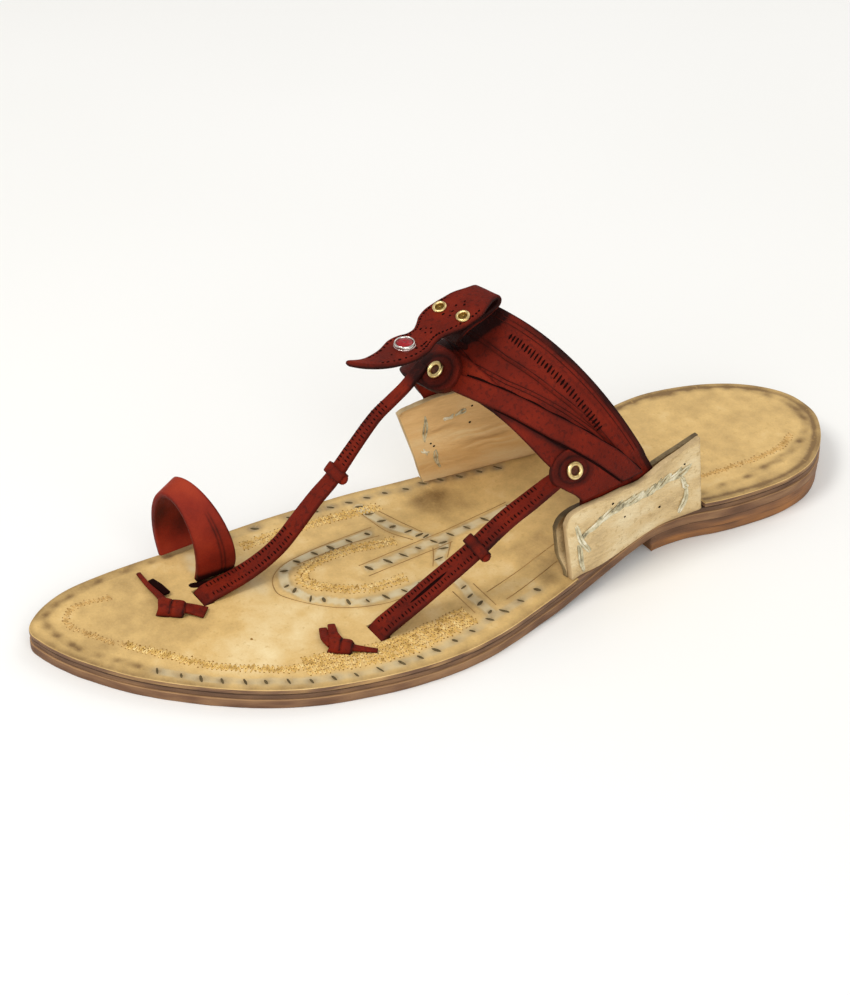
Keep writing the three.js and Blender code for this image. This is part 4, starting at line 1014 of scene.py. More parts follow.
# plan lines on the footbed, each a list of (x, y)
lacePaths = {
    "rim": [(5.2, -105.8), (10.5, -101), (14.7, -97), (18.7, -92.5), (22.5, -87.3), (25.7, -82.5), (28.8, -77),
            (32, -71.5), (34, -65.5), (36, -59.5), (37.5, -52.7), (38.3, -46), (38.8, -40.3), (38.5, -34.8),
            (37.6, -28), (36.6, -21.5), (34.8, -14.3), (33.7, -8.7), (32.3, -2), (31, 4.7)],
    "toe": [(-41.2, -78), (-41.2, -84), (-41.4, -92.7), (-41.3, -101), (-39, -111.7), (-37.2, -117),
            (-34.5, -121.2), (-29.5, -123.6), (-24.3, -122.7), (-18.6, -121.3), (-14.9, -119.7), (-9.7, -116.6),
            (-4.9, -113), (0.4, -109.2)],
    "medial": [(-40.2, -60), (-40, -50), (-39.4, -38), (-38.2, -30), (-37.5, -25), (-36.7, -19), (-36, -13),
               (-35.3, -7), (-33.5, -0.5), (-32.8, 5.3), (-31, 10.5), (-28.5, 16), (-26.5, 22), (-24.2, 27.5)],
    "heel": [(23, 70), (23, 77.5), (23.6, 85.8), (23, 92.3), (22.5, 97), (21, 103.5), (20, 107), (14.5, 116.5),
             (7, 123), (1, 124.3), (-4, 124), (-8, 123), (-13, 120), (-18.5, 115), (-25, 103), (-27, 92.5),
             (-28.5, 80), (-27, 70)],
    "center": [(-4.8, -31), (-4.9, -24.5), (-5, -19), (-5.7, -13.4), (-6, -7.6), (-6.2, -1.6), (-6, 4.2),
               (-6, 10.6), (-6, 20)],
    "crossMedial": [(-9.5, -8.2), (-11, -9.7), (-14.3, -11.5), (-18.8, -14.3), (-23, -15.7), (-28, -17),
                    (-33, -17.7)],
    "crossLateral": [(-4, -5.5), (-1.5, -7), (2.2, -10.8), (10, -12), (18, -12.3), (22.5, -13), (27, -12.5),
                     (32, -12.3)],
    "oval": [(10, -22), (10.3, -28), (10, -34), (8.8, -39.5), (6.3, -44.5), (1.5, -50), (-1, -53), (-7, -55),
             (-10, -56), (-16.8, -53), (-19, -47.5), (-19.7, -41), (-19.5, -35.5), (-19.5, -29.2),
             (-19.7, -22.7)],
}
grooveLines = [
    [(-1.5, -33), (-2.2, -18), (-3, -3)], [(-7.3, -33), (-8.4, -14), (-9, 3), (-8.8, 20)],
    [(-10, -12.5), (-18, -17), (-30, -19)], [(-12, -8), (-20, -11), (-29, -14)],
    [(4.5, -14.5), (0, -11.5), (-3.5, -9.5)], [(3, -8.5), (0, -6), (-3, -3.5)],
    [(18, -16.2), (30, -16.2)], [(18, -9), (30, -9)],
    [(13.2, -22), (13, -30), (12.2, -37), (9, -45), (3.5, -52), (-6, -59), (-11, -59.5), (-16, -57), (-19.5, -52),
     (-21, -45), (-21.8, -35), (-22, -20)],
    [(-17.5, -48), (-18, -38), (-18, -28), (-17, -20)],
    [(23.5, -8), (20.5, 5), (18, 15), (16.5, 22)], [(29.5, -5), (27, 5), (23.5, 18)],
]
wornSpots = [(-36, -73.4, 3.4), (-32, -75.2, 2.4), (-15, -63, 5)]  # x, y, reach of hide rubbed pale
dirtSpots = [  # x, y, reach along the shoe, reach across it, depth of tone
    (21.5, 96, 4, 1.1, -0.8), (19.8, 103, 3, 1.0, -0.6), (23.4, 87, 1.6, 1.0, -0.7), (22.8, 78.5, 1.4, 1.1, -0.7),
    (16.5, 113.4, 1.6, 1.2, -0.5), (5.5, 123.2, 1.3, 1.8, -0.6), (-1, 124, 1.1, 1.8, -0.5), (-9, 121.4, 1.6, 2, -0.4),
    (-28, 92, 3, 1.2, -0.4), (-40.4, -104, 4, 1.0, -0.25), (-28, -122.6, 1.1, 3.5, -0.35), (-17, -120.5, 1.0, 3, -0.35),
    (-38.2, -114, 3, 1.0, -0.3),
]
# round patches of the footbed painted darker or paler
tonePatches = [  # x, y, radius, depth of tone
    (-22, 5, 12, -0.5), (-25, 2, 7, -0.35), (19, 15, 13, -0.3), (29, 10, 4, -0.5), (6, -66, 16, 0.3),
    (-20, -104, 24, -0.18), (14, -82, 12, 0.25), (-28, 62, 14, -0.3), (0, 42, 16, -0.25), (20, 30, 9, -0.15),
    (0, 96, 34, -0.12), (-30, -30, 12, -0.2), (4, -8, 16, 0.1), (-34, -90, 12, -0.1),
]


def footbedShape(points):
    # height to add to the plain footbed, and tone: wear, grooves and the hollow of the foot
    xy = points[:, :2]
    height = noiseAt(points, 26.0, 2.0) * 0.22 + noiseAt(points, 6.0, 3.0) * 0.06
    tone = noiseAt(points, 17.0, 4.0) * 0.12 + noiseAt(points, 4.0, 5.0) * 0.14
    for line in grooveLines:
        distance = lineDistance(xy, smoothPath(line, 2.5))
        height -= 0.1 * bump(distance / 0.9)
        tone -= 0.12 * bump(distance / 1.0)
    lace = np.zeros(len(points))
    mottle = 0.8 + 0.35 * noiseAt(points, 2.6, 6.0)
    for name in lacePaths:
        slots = slotPath(name)
        distance = lineDistance(xy, smoothPath(slots, 1.2))
        near = np.min([np.hypot(xy[:, 0] - x, xy[:, 1] - y) for x, y in slots], axis=0)
        strip = smoothstep((1.75 - distance) / 0.6)
        between = smoothstep((near - 0.5) / 1.0)
        lace = np.maximum(lace, laceLook["pale"][name] * strip * between * mottle)
        smudge = laceLook["smudge"].get(name, 0.7)
        lace = np.maximum(lace, 0.25 * bump(near / 2.0) * (name not in laceLook["bare"]))
        height += (0.12 * between - 0.12) * strip
        tone -= 0.1 * strip + 0.18 * bump((distance - 1.8) / 0.6) * (laceLook["pale"][name] > 0.5)
        tone -= smudge * mottle * bump(np.hypot(near, 1.2 * distance) / (1.7 if name in laceLook["bare"] else 2.4))
    for x, y, reach in wornSpots:
        lace = np.maximum(lace, 0.6 * mottle * bump(np.hypot(xy[:, 0] - x, 1.6 * (xy[:, 1] - y)) / reach))
    for x, y, long, wide, depth in dirtSpots:
        tone += depth * mottle * bump(np.hypot((xy[:, 0] - x) / wide, (xy[:, 1] - y) / long))
    for x, y, radius, depth in tonePatches:
        distance = np.hypot(xy[:, 0] - x, xy[:, 1] - y)
        tone += depth * smoothstep(1.25 - distance / radius)
    return height, tone, lace


def slotPath(name):
    path = np.array(lacePaths[name], float)
    return smoothPath(path, 6.4) if name == "heel" else path


def cutHoles(piece, boxes):
    # slots through a sheet, cut with plain blocks that are deleted again
    for center, size, turn in boxes:
        bpy.ops.mesh.primitive_cube_add(size=1)
        block = bpy.context.object
        heading = Matrix.Rotation(turn, 3, "Z").to_quaternion()
        block.data.transform(Matrix.LocRotScale(Vector(center) / 1000, heading, Vector(size) / 1000))
        cutAway(piece, block)
    piece.data.set_sharp_from_angle(angle=math.radians(40))


def makeFootbed():
    ring = insoleRing()
    grid = plyRings(ring, insoleBottom, footbed, footbedLook["radius"], footbedLook["steps"])
    points = grid.reshape(-1, 3)
    levels, count = grid.shape[:2]
    level = np.repeat(np.arange(levels), count)
    onTop = level >= levels - footbedLook["steps"] - 2
    height, tone, lace = np.zeros((3, len(points)))
    height[onTop], tone[onTop], lace[onTop] = footbedShape(points[onTop])
    rimDistance = np.linalg.norm(points[:, :2] - np.tile(ring, (levels, 1)), axis=1)
    # dirt along the rim, more of it at the toe and the heel, and a groove round the heel
    atEnds = np.maximum(smoothstep((points[:, 1] - 66) / 12), 0.8 * smoothstep((-84 - points[:, 1]) / 14))
    patches = np.clip(0.55 + noiseAt(points, 9.0, 8.0), 0, 1.3)
    tone -= 0.4 * bump(rimDistance / 1.6) + 0.15 * bump(rimDistance / 5.0)
    tone -= 0.28 * atEnds * patches * bump((rimDistance - 3.2) / 3.0)
    groove = bump((rimDistance - 2.2) / 0.8) * smoothstep((points[:, 1] - 62) / 4)
    tone -= 0.6 * groove
    height = height * smoothstep(rimDistance / 2.5) - 0.12 * groove
    points[:, 2] += height
    tone[~onTop] = edgeTone(points[~onTop], 6) + 0.2
    faces = ringFaces(levels, count)
    edgeFaces = np.repeat(np.arange(levels - 1) < levels - footbedLook["steps"] - 3, count)
    piece = addPiece("insoleBoard", points, faces, [footbedHide, insoleEdge], edgeFaces, tone=tone, lace=lace)
    top = float(footbed(-60))
    strapSlot = (8.6, soleLook["slotLength"], 6)
    cutHoles(piece, [((-18.1, -79.2, top), strapSlot, 0), ((23, -44.4, top), strapSlot, 0),
                     ((-25.6, -70.8, top), (3.4, 13.0, 6), -0.05)])
    declare(piece, "tan_leather", "insole")


def makeInsoleLedge():
    # the strip of the insole's edge that is left under the front of the lateral ear
    rows = {name: column[2:-1] for name, column in smoothRows(lateralEar, 60).items()}
    rows = {name: column[(rows["baseY"] > 16) & (rows["baseY"] < 26.5)] for name, column in rows.items()}
    outer = np.interp(rows["baseY"], *lateralEdge(insoleInset).T[::-1])
    y = rows["baseY"]
    inner = earFootLine(lateralEar, y) - 0.3
    low = insoleBottom(y) - sole["gap"] / 2
    high = np.minimum(insoleBottom(y) - rows["sunk"] - soleLook["footClear"], footbed(y) - 0.1)
    high = np.maximum(low + 0.05, high)
    grid = np.stack([stack(inner, y, high), stack(outer - 0.3, y, high), stack(outer, y, high - 0.3 * (high - low)),
                     stack(outer, y, low), stack(inner, y, low)], 1)
    tubePiece("insoleLedge", [grid], insoleEdge, "tan_leather", "insole")


makeSole()
makeFootbed()
makeInsoleLedge()
print("sole made")

# ---- ears

earLook = {"rim": 0.22, "length": 110, "height": 64, "topWander": 0.3, "edge": 0.2}


def earSheet(name, rows, near, node, seed, creases, edge, shade=0.0, hide=earHide):
    rows = smoothRows(rows, earLook["length"])
    h = rimSpaced(1.0, 1 / earLook["height"], 0.012)[None]
    front, rear = earFace(rows, h, near(h)), earFace(rows, h, near(h) + earPly)
    count = front.shape[0]
    run = runAlong(front[:, -1])
    toTop = (1 - h) * (rows["topZ"][:, None] - insoleBottom(rows["baseY"])[:, None])
    toEnd = np.minimum(run, run[-1] - run)[:, None]
    distance = np.minimum(toTop, toEnd + 0 * h)
    # the top edge wanders, and the face has soft bends
    wander = noiseAt(front[:, -1:], 9.0, seed) * earLook["topWander"]
    lift = wander * smoothstep((h - 0.4) / 0.6)
    outside = unit(front - rear)
    soft = noiseAt(front, 15.0, seed + 1) * 0.25 + noiseAt(front, 4.0, seed + 2) * 0.06
    tone = noiseAt(front, 12.0, seed + 3) * 0.35 - 0.3 * bump((toTop - 0.2) / 0.8) - 0.3 * bump(h / 0.05) + shade
    share = np.linspace(0, 1, count)[:, None]
    # a positive depth sinks a crease and paints it darker; a negative depth raises a ridge and paints it lighter, a
    # painted highlight on shiny wrinkles
    for a, level, reach, depth in creases:
        place = level + 0.012 * np.sin(share * 31 + a * 9 + level * 20)
        line = bump((h - place) / 0.016) * smoothstep(1.4 - np.abs(share - a) / reach)
        soft = soft - depth * line
        tone = tone - depth * line
    held = smoothstep(distance / 1.5)[..., None]
    shift = outside * soft[..., None] * 0.5 * held
    shift[..., 2] += lift
    piece = slab(name, front + shift, rear + shift, [hide, edge], distance, earLook["rim"], tone, earLook["edge"])
    declare(piece, "ear_leather", node)


def makeEars():
    outer = lambda h: 0 * h
    inner = lambda h: earPly + pocket(h)
    lateralCreases = [(0.3, 0.14, 0.12, 0.16), (0.33, 0.21, 0.1, 0.16), (0.36, 0.28, 0.1, 0.14),
                      (0.4, 0.34, 0.08, 0.12), (0.28, 0.07, 0.12, 0.14), (0.5, 0.42, 0.07, 0.1),
                      (0.1, 0.6, 0.06, 0.12)]
    # the medial ear's negative depths are painted highlights on its shiny wrinkles
    medialCreases = [(0.45, 0.55, 0.14, -0.35), (0.5, 0.49, 0.16, -0.5), (0.52, 0.43, 0.12, 0.25),
                     (0.48, 0.37, 0.12, -0.5), (0.56, 0.3, 0.1, -0.3), (0.3, 0.66, 0.1, 0.3),
                     (0.25, 0.24, 0.12, -0.25)]
    earSheet("earLateralOuter", lateralEar, outer, "ear_lateral_outer", 1, lateralCreases, earRim, 0.15)
    # the lateral inner ply's -0.4 is painted shade where it sits behind the outer ply
    earSheet("earLateralInner", lateralInnerEar, inner, "ear_lateral_inner", 2, [], earEdge, -0.4)
    earSheet("earMedialOuter", medialOuterEar, outer, "ear_medial_outer", 3, [], earRim)
    earSheet("earMedialInner", medialEar, inner, "ear_medial_inner", 4, medialCreases, earRim, 0.1, earGolden)


makeEars()
print("ears made")

# ---- instep band

wallLook = {"step": 0.42, "rim": 0.55, "groove": 0.12, "raised": 0.6, "padSunk": 0.5}
rearStripFront = [(6, 18.6), (12, 18.2), (22, 17), (36, 15.2), (53, 14.4), (67, 15.2), (90, 16.6), (108, 17.6)]
bandLines = {  # tooled line pairs, (s, w)
    "stripFront": [(4, 18.6), (21, 17.4), (35, 15.6), (53, 14.7), (67, 15.7), (90, 17), (108, 18)],
    "middle": [(14, 17.6), (24, 15.1), (38, 11.7), (49, 9.1), (61.4, 8.1), (67.5, 9.9), (80, 13.2), (96, 16.5)],
}


def lineAt(line, s):
    s0, w0 = np.array(line).T
    return np.interp(s, s0, w0)


def paintedTongueShadow(s, w):
    # painted shadow: the band is painted darker under the tongue and round its foot, where the tongue's shade falls
    edge = np.interp(w, [0, 5.5, 10.8, 17.3, 24], [74.5, 73.2, 69.8, 65.3, 62])
    return -1.8 * smoothstep((s - edge + 3.6) / 4.2) * smoothstep((edge + 13 - s) / 5)


def makeWall():
    s = rimSpaced(bandLength + 2 * band["insert"], wallLook["step"], 0.4) - band["insert"]
    w = rimSpaced(band["width"] + 0.2, wallLook["step"], wallLook["rim"])
    s, w = s[:, None], w[None]
    raised = wallLook["raised"] * smoothstep((w - lineAt(rearStripFront, s)) / 0.7 + 0.5)
    raised = raised * smoothstep((s - 4) / 3) * smoothstep((bandLength - 2 - s) / 3)
    height, tone = raised, np.zeros(np.broadcast_shapes(s.shape, w.shape))
    for line in bandLines.values():
        for side in (-0.55, 0.55):
            cut = bump((w - lineAt(line, s) - side) / 0.5)
            height = height - wallLook["groove"] * cut
            tone = tone - 0.2 * cut
    for back in (1.6, 2.9, 4.3):
        cut = bump((w - (band["width"] - back)) / 0.4)
        height = height - 0.08 * cut
        tone = tone - 0.25 * cut
    inside = bandPoint(s + 0 * w, w + 0 * s)
    normal = bandNormal(s + 0 * w, w + 0 * s)
    free = smoothstep((s - 1) / 5) * smoothstep((bandLength - 1 - s) / 5)
    height = height + free * (noiseAt(inside, 9.0, 21) * 0.1 + noiseAt(inside, 3.0, 22) * 0.04)
    # painted shadow: the band is darker here under the tongue
    tone = tone + noiseAt(inside, 14.0, 23) * 0.3 + paintedTongueShadow(s, w)
    edge = np.minimum(w, band["width"] + 0.2 - w) + 0 * s
    tone = tone - 0.5 * bump(edge / 0.5) - 0.8 * smoothstep((w - band["width"] + 2.6) / 2) * smoothstep((60 - s) / 20)
    top = inside + normal * height[..., None]
    bottom = inside - normal * wall
    ends = np.minimum(s + band["insert"], bandLength + band["insert"] - s) + 0 * w
    piece = slab("bandWall", top, bottom, dyedStrap, np.minimum(edge, ends), wallLook["rim"], tone)
    declare(piece, "red_leather", "upper")


def bandPad(name, rows, count, cols, rim, shape, seed):
    # a pad that lies on the band, its edges rounded
    at = np.linspace(0, len(rows["s"]) - 1, count)
    rows = {key: np.interp(at, np.arange(len(column)), column) for key, column in rows.items()}
    width = float((rows["rear"] - rows["front"]).max())
    across = rimSpaced(width, width / cols, rim)[None] / width
    s = rows["s"][:, None] + 0 * across
    w = mix(rows["front"][:, None], rows["rear"][:, None], across)
    height = rows["height"][:, None] + 0 * across
    flat = bandPoint(s, w)
    normal = bandNormal(s, w)
    half = np.minimum(across, 1 - across) * (rows["rear"] - rows["front"])[:, None]
    run = runAlong(flat[:, flat.shape[1] // 2])[:, None]
    distance = np.minimum(half, np.minimum(run, run[-1] - run))
    tone = noiseAt(flat, 11.0, seed) * 0.3 - 0.45 * bump(distance / 0.5)
    change, tone = shape(s, w, noiseAt(flat, 7.0, seed + 1) * 0.08, tone)
    top = flat + normal * (height + change)[..., None]
    piece = slab(name, top, flat - normal * wallLook["padSunk"], dyedStrap, distance, rim, tone)
    declare(piece, "red_leather", "upper")


def tabShape(tab):
    # a ring pressed round the eyelet and painted darker as painted shade in its hollow, the disc darker inside a rim of
    # about 1.5 mm, and on the medial tab painted shadow where the tongue overhangs it
    def shape(s, w, change, tone):
        radius = np.hypot(s - tab["s"], w - tab["w"])
        press = bump((radius - 4.9) / 0.5)
        dish = smoothstep((5.0 - radius) / 1.2)
        worn = smoothstep((tab["radius"] - radius) / 1.5)
        tone = tone - 0.3 * press - 0.45 * worn
        if tab is tabs["medial"]:
            tone = tone - 0.7 * smoothstep((s - 71) / 4)
        return change - 0.3 * press - 0.12 * dish, tone
    return shape


def stripShape(s, w, change, tone):
    # painted shade: the diagonal strip is darker at its cut end, and painted shadow lies on it under the tongue
    return change, tone - 0.05 - 1.6 * smoothstep((2.2 - s) / 0.5) + 0.8 * paintedTongueShadow(s, w)


def counterShape(s, w, change, tone):
    # painted shadow: the counter strip is darker just below the diagonal strip's front edge, and under the tongue
    front = np.interp(s, stripRows["diagonal"]["s"], stripRows["diagonal"]["front"])
    return change, tone - 0.7 * bump((w - front + 0.3) / 1.3) * (s > 5) + 0.6 * paintedTongueShadow(s, w)


def makeShadowLines():
    # painted shadow: near-black strips laid under the diagonal's front edge, and finer ones across its end and along
    # its rear edge, where the raised strip casts shade
    rows = stripRows["diagonal"]
    s = np.linspace(2.2, 47, 90)
    front = np.interp(s, rows["s"], rows["front"])
    path = bandLift(s, front - 0.15, np.interp(s, [2, 24, 28, 47], [1.75, 1.7, 1.0, 0.95]))
    frontLine = ribbon(path, bandNormal(s, front), np.interp(s, [2, 10, 30, 47], [0.9, 1.1, 0.9, 0.4]), 0.3)
    w = np.linspace(13.9, 21.2, 24)
    path = bandLift(1.35 + 0 * w, w, np.where(w > 18.6, 0.65, 0.1))
    endLine = ribbon(path, bandNormal(1.35 + 0 * w, w), 0.9, 0.5)
    tubePiece("diagonalShadowLine", [frontLine, endLine], cutAndShadeBlack, "red_leather", "upper")
    s = np.linspace(1.6, 60, 90)
    rear = np.interp(s, rows["s"], rows["rear"])
    over = np.interp(s, stripRows["counter"]["s"], stripRows["counter"]["rear"]) > rear
    path = bandLift(s, rear + 0.1, np.where(over, 0.95, np.where(rear > lineAt(rearStripFront, s), 0.65, 0.1)))
    rearLine = ribbon(path, bandNormal(s, rear), 0.85 + 0.25 * np.sin(s * 0.7), 0.3)
    tubePiece("diagonalRearLine", [rearLine], cutAndShadeBlack, "red_leather", "upper")


def makeBand():
    makeWall()
    bandPad("counterStrip", smoothRows(stripRows["counter"], 150), 180, 16, 0.55, counterShape, 31)
    bandPad("diagonalStrip", smoothRows(stripRows["diagonal"], 150), 170, 16, 0.6, stripShape, 33)
    for name, seed in (("lateral", 35), ("medial", 37)):
        bandPad(name + "Tab", tabRows(tabs[name], 70), 110, 40, 0.6, tabShape(tabs[name]), seed)
    makeShadowLines()


makeBand()
print("band made")

# ---- straps

strapLook = {"count": 150, "sides": 28}


def makeStraps():
    for name, rows in strapRows.items():
        line = strapFrame(rows, strapLook["count"])
        section = roundedSection(strapLook["sides"], 5.0)
        grid = rings(line["at"], line["across"], line["up"], line["width"], strapThickness, section)
        points, faces = tubeMesh([grid])
        tone = noiseAt(points, 9.0, 41) * 0.35
        edge = np.abs(np.tile(section[:, 0], len(line["at"]))) * 2
        tone[:len(edge)] -= 0.4 * smoothstep((edge - 0.8) / 0.2)
        low = points[:, 2] < footbed(points[:, 1]) + 1.2
        tone -= 0.2 * low
        # painted shadow: the medial strap's top end is darker where it runs under the tongue
        if name == "medial":
            tone -= 1.2 * smoothstep((points[:, 1] + 12) / 5)
        declare(addPiece(name + "Strap", points, faces, dyedStrap, tone=tone), "red_leather", "upper")


makeStraps()

# ---- toe loop

loopLook = {"around": 180, "across": 44, "rim": 0.55, "lines": (0.63, 0.72), "linesEnd": 0.33, "feet": (-0.015, 0.985)}


def makeToeLoop():
    t = np.linspace(loopLook["feet"][0], loopLook["feet"][1], loopLook["around"])[:, None]
    v = rimSpaced(1.0, 1 / loopLook["across"], 0.05)[None]
    t, v = t + 0 * v, v + 0 * t
    outer = loopPoint(t, v)
    inner = outer + loopInward(t, v) * loopThickness
    spanAt = np.linalg.norm(loopPoint(t[:, :1], 1.0 + 0 * t[:, :1]) - loopPoint(t[:, :1], 0 * t[:, :1]), axis=-1)
    distance = np.minimum(v, 1 - v) * spanAt
    change = noiseAt(outer, 10.0, 51) * 0.2 + noiseAt(outer, 3.5, 52) * 0.05
    tone = noiseAt(outer, 9.0, 53) * 0.4 - 0.5 * bump(distance / 0.5)
    for line in loopLook["lines"]:
        cut = bump((v - line) * spanAt / 0.3) * smoothstep((loopLook["linesEnd"] - t) / 0.05)
        change, tone = change - 0.12 * cut, tone - 0.5 * cut
    # painted shade: the inner face is darker towards the top of the arch
    lowTone = -0.1 + noiseAt(inner, 7.0, 54) * 0.4 - 0.45 * bump((t - 0.5) / 0.3)
    # painted highlight: the outer face is lighter over the top of the arch
    tone = tone + 0.45 * smoothstep((t - 0.3) / 0.2) * smoothstep((0.85 - t) / 0.15)
    low = outer[..., 2] - footbed(outer[..., 1])
    # painted shade: the outer face is darker within about 3 mm of the footbed, most at the outer foot
    tone = tone - 1.2 * smoothstep((3.2 - low) / 2.6) * (0.35 + 0.65 * smoothstep((0.3 - t) / 0.2))
    held = (change * smoothstep(distance / 1.2))[..., None]
    piece = slab("toeLoopBand", outer + unit(outer - inner) * held, inner, dyedLoop, distance, loopLook["rim"],
                 tone, lowTone=lowTone)
    declare(piece, "loop_leather", "toe_loop")


def makeLoopShadowWedge():
    # painted shadow: a near-black wedge on the footbed where the loop's outer foot leaves its slot
    path = smoothPath([(-25.0, -80.2), (-24.0, -77.8), (-23.0, -74.3), (-22.7, -70), (-23.4, -65.5)], 0.6)
    at = np.concatenate([path, footbed(path[:, 1])[:, None] + 0.12], 1)
    share = np.linspace(0, 1, len(path))
    up = np.array([0, 0, 1.0]) + 0 * at
    wide = 0.5 + 2.2 * np.sin(math.pi * share ** 0.45) ** 0.8
    tubePiece("loopWedge", [ribbon(at, up, wide, 0.4)], cutAndShadeBlack, "loop_leather", "toe_loop")


makeToeLoop()
makeLoopShadowWedge()

# ---- tongue

tongueLook = {"count": 170, "across": 30, "rim": 0.45}


def makeTongue():
    line = tongueFrame(tongueLook["count"])
    across = rimSpaced(1.0, 1 / tongueLook["across"], 0.04)[None] * 2 - 1
    run = runAlong(line["at"])[:, None]
    half = line["half"][:, None] + 1.5 * smoothstep((15 - run) / 5)
    middle = line["at"][:, None] + line["across"][:, None] * (across * half)[..., None]
    up = line["up"][:, None] + 0 * middle
    distance = np.minimum((1 - np.abs(across)) * half, np.minimum(run, run[-1] - run))
    cup = -0.4 * (across ** 2 - 0.4) * smoothstep((run - 34) / 8) * smoothstep((half - 1) / 3)
    change = noiseAt(middle, 7.0, 61) * 0.15 * smoothstep((run - 20) / 8)
    tone = noiseAt(middle, 8.0, 62) * 0.3 - 0.4 * bump(distance / 0.5)
    # painted shadow: the first 13 mm of the strip, where it rises from the band under the tongue, is painted dark
    tone = tone - 1.1 * smoothstep((13 - run) / 5)
    shift = up * (change + cup)[..., None]
    top = middle + up * tongueThickness / 2 + shift
    bottom = middle - up * tongueThickness / 2 + shift
    # painted shade: the underside is darker still
    piece = slab("tongueStrip", top, bottom, dyedStrap, distance, tongueLook["rim"], tone, lowTone=tone - 0.7)
    declare(piece, "red_leather", "tongue")


makeTongue()
print("straps, loop and tongue made")

# ---- eyelets

eyelet = {"outer": 5.4, "small": 4.3, "hole": 2.8, "smallHole": 2.5, "ring": 6.5, "turns": 56}
tonguePlaces = {"medial": (0.545, -3.9), "lateral": (0.545, 4.4), "front": (0.795, 0)}  # share of its length, mm across


def turned(name, profile, at, axis, material, slot, node, close=True):
    # a profile of (radius, height) turned about an axis
    axis = unit(np.asarray(axis, float))
    side = unit(np.cross(axis, [0.31, 0.95, 0.1]))
    other = np.cross(axis, side)
    angle = np.arange(eyelet["turns"]) / eyelet["turns"] * 2 * math.pi
    radial = np.cos(angle)[:, None] * side + np.sin(angle)[:, None] * other
    profile = np.array(profile, float)
    grid = np.asarray(at, float) + profile[:, :1, None] * radial[None] + profile[:, 1:2, None] * axis
    points = grid.reshape(-1, 3)
    faces = ringFaces(len(profile), eyelet["turns"])
    if close:
        i = np.arange(eyelet["turns"])
        last = (len(profile) - 1) * eyelet["turns"]
        n = np.roll(i, -1)
        faces = np.concatenate([faces, quads(last + i, last + n, n, i)])
    faces = outward(points, faces)
    declare(addPiece(name, points, faces, material, tone=noiseAt(points, 1.2, 71) * 0.5), slot, node)


def rolledProfile(outer, hole, depth, crown=0.9):
    middle, reach = (outer + hole) / 2, (outer - hole) / 2
    turn = np.linspace(0, math.pi, 15)
    dome = [(middle + reach * math.cos(a), 0.12 + (crown - 0.12) * math.sin(a) ** 0.75) for a in turn]
    return [(outer, 0.05)] + dome + [(hole, -depth), (hole + 0.3, -depth), (hole + 0.3, 0.05)]


def disc(name, radius, at, axis, material, node, height):
    low = height - 0.3
    profile = [(0.02, height), (radius * 0.6, height + 0.01), (radius, height), (radius, low), (0.02, low)]
    turned(name, profile, at, axis, material, "brass", node)


def makeStoneRing(at, axis, node):
    # two tiers: a white rim round a wide red drop, over a red skirt with a second thin rim
    outer = eyelet["ring"] / 2
    drop = outer - 0.8
    skirt = [(outer, 0.05), (outer, 0.5), (outer - 0.3, 0.62), (1.6, 0.62), (1.6, -0.8), (2, -0.8), (2, 0.05)]
    cap = [(0.02, 1.55), (drop * 0.35, 1.52), (drop * 0.65, 1.42), (drop * 0.88, 1.24), (drop, 0.95), (drop, 0.3),
           (0.02, 0.3)]
    for name, profile, material, close in (
            ("stoneSkirt", skirt, redEnamel, True),
            ("stoneLowRim", rolledProfile(outer + 0.02, outer - 0.34, 0.0, 0.62), whiteMetal, False),
            ("stoneRim", rolledProfile(outer - 0.12, outer - 0.86, 0.0, 1.5), whiteMetal, True),
            ("stoneDrop", cap, redEnamel, True)):
        turned(name, profile, at, axis, material, "white_metal", node, close)


def makeEyelets():
    for name, tab in tabs.items():
        node = "eyelet_tab_" + name
        axis = bandNormal(tab["s"], tab["w"])
        at = bandLift(tab["s"], tab["w"], tab["height"]) + axis * seat * 0.4
        profile = rolledProfile(eyelet["outer"] / 2, eyelet["hole"] / 2, 1.2)
        turned(name + "TabEyelet", profile, at, axis, brassRolled, "brass", node)
        disc(name + "TabEyeletHole", eyelet["hole"] / 2 + 0.1, at, axis, holeLeather, node, 0.02)
    line = tongueFrame(60)
    for name, (share, side) in tonguePlaces.items():
        i = round(share * 60)
        axis = line["up"][i] * (1 if line["up"][i][2] > 0 else -1)
        at = line["at"][i] + line["across"][i] * side + axis * (tongueThickness / 2 + 0.05)
        node = "eyelet_tongue_" + name
        if name == "front":
            makeStoneRing(at, axis, node)
        else:
            profile = rolledProfile(eyelet["small"] / 2, eyelet["smallHole"] / 2, 0.8, 0.75)
            turned(name + "TongueEyelet", profile, at, axis, brassRolled, "brass", node)
            disc(name + "TongueEyeletHole", eyelet["smallHole"] / 2 + 0.1, at, axis, brassShade, node, 0.08)


makeEyelets()

# ---- keepers and knots

keeper = {"wall": 0.95, "length": 3.4, "clearance": 0.3, "nub": (2.6, 1.7, 1.5), "rows": 36, "turns": 64, "sides": 16}
keeperPlaces = {"medial": 0.425, "lateral": 0.455}  # share of the strap's length


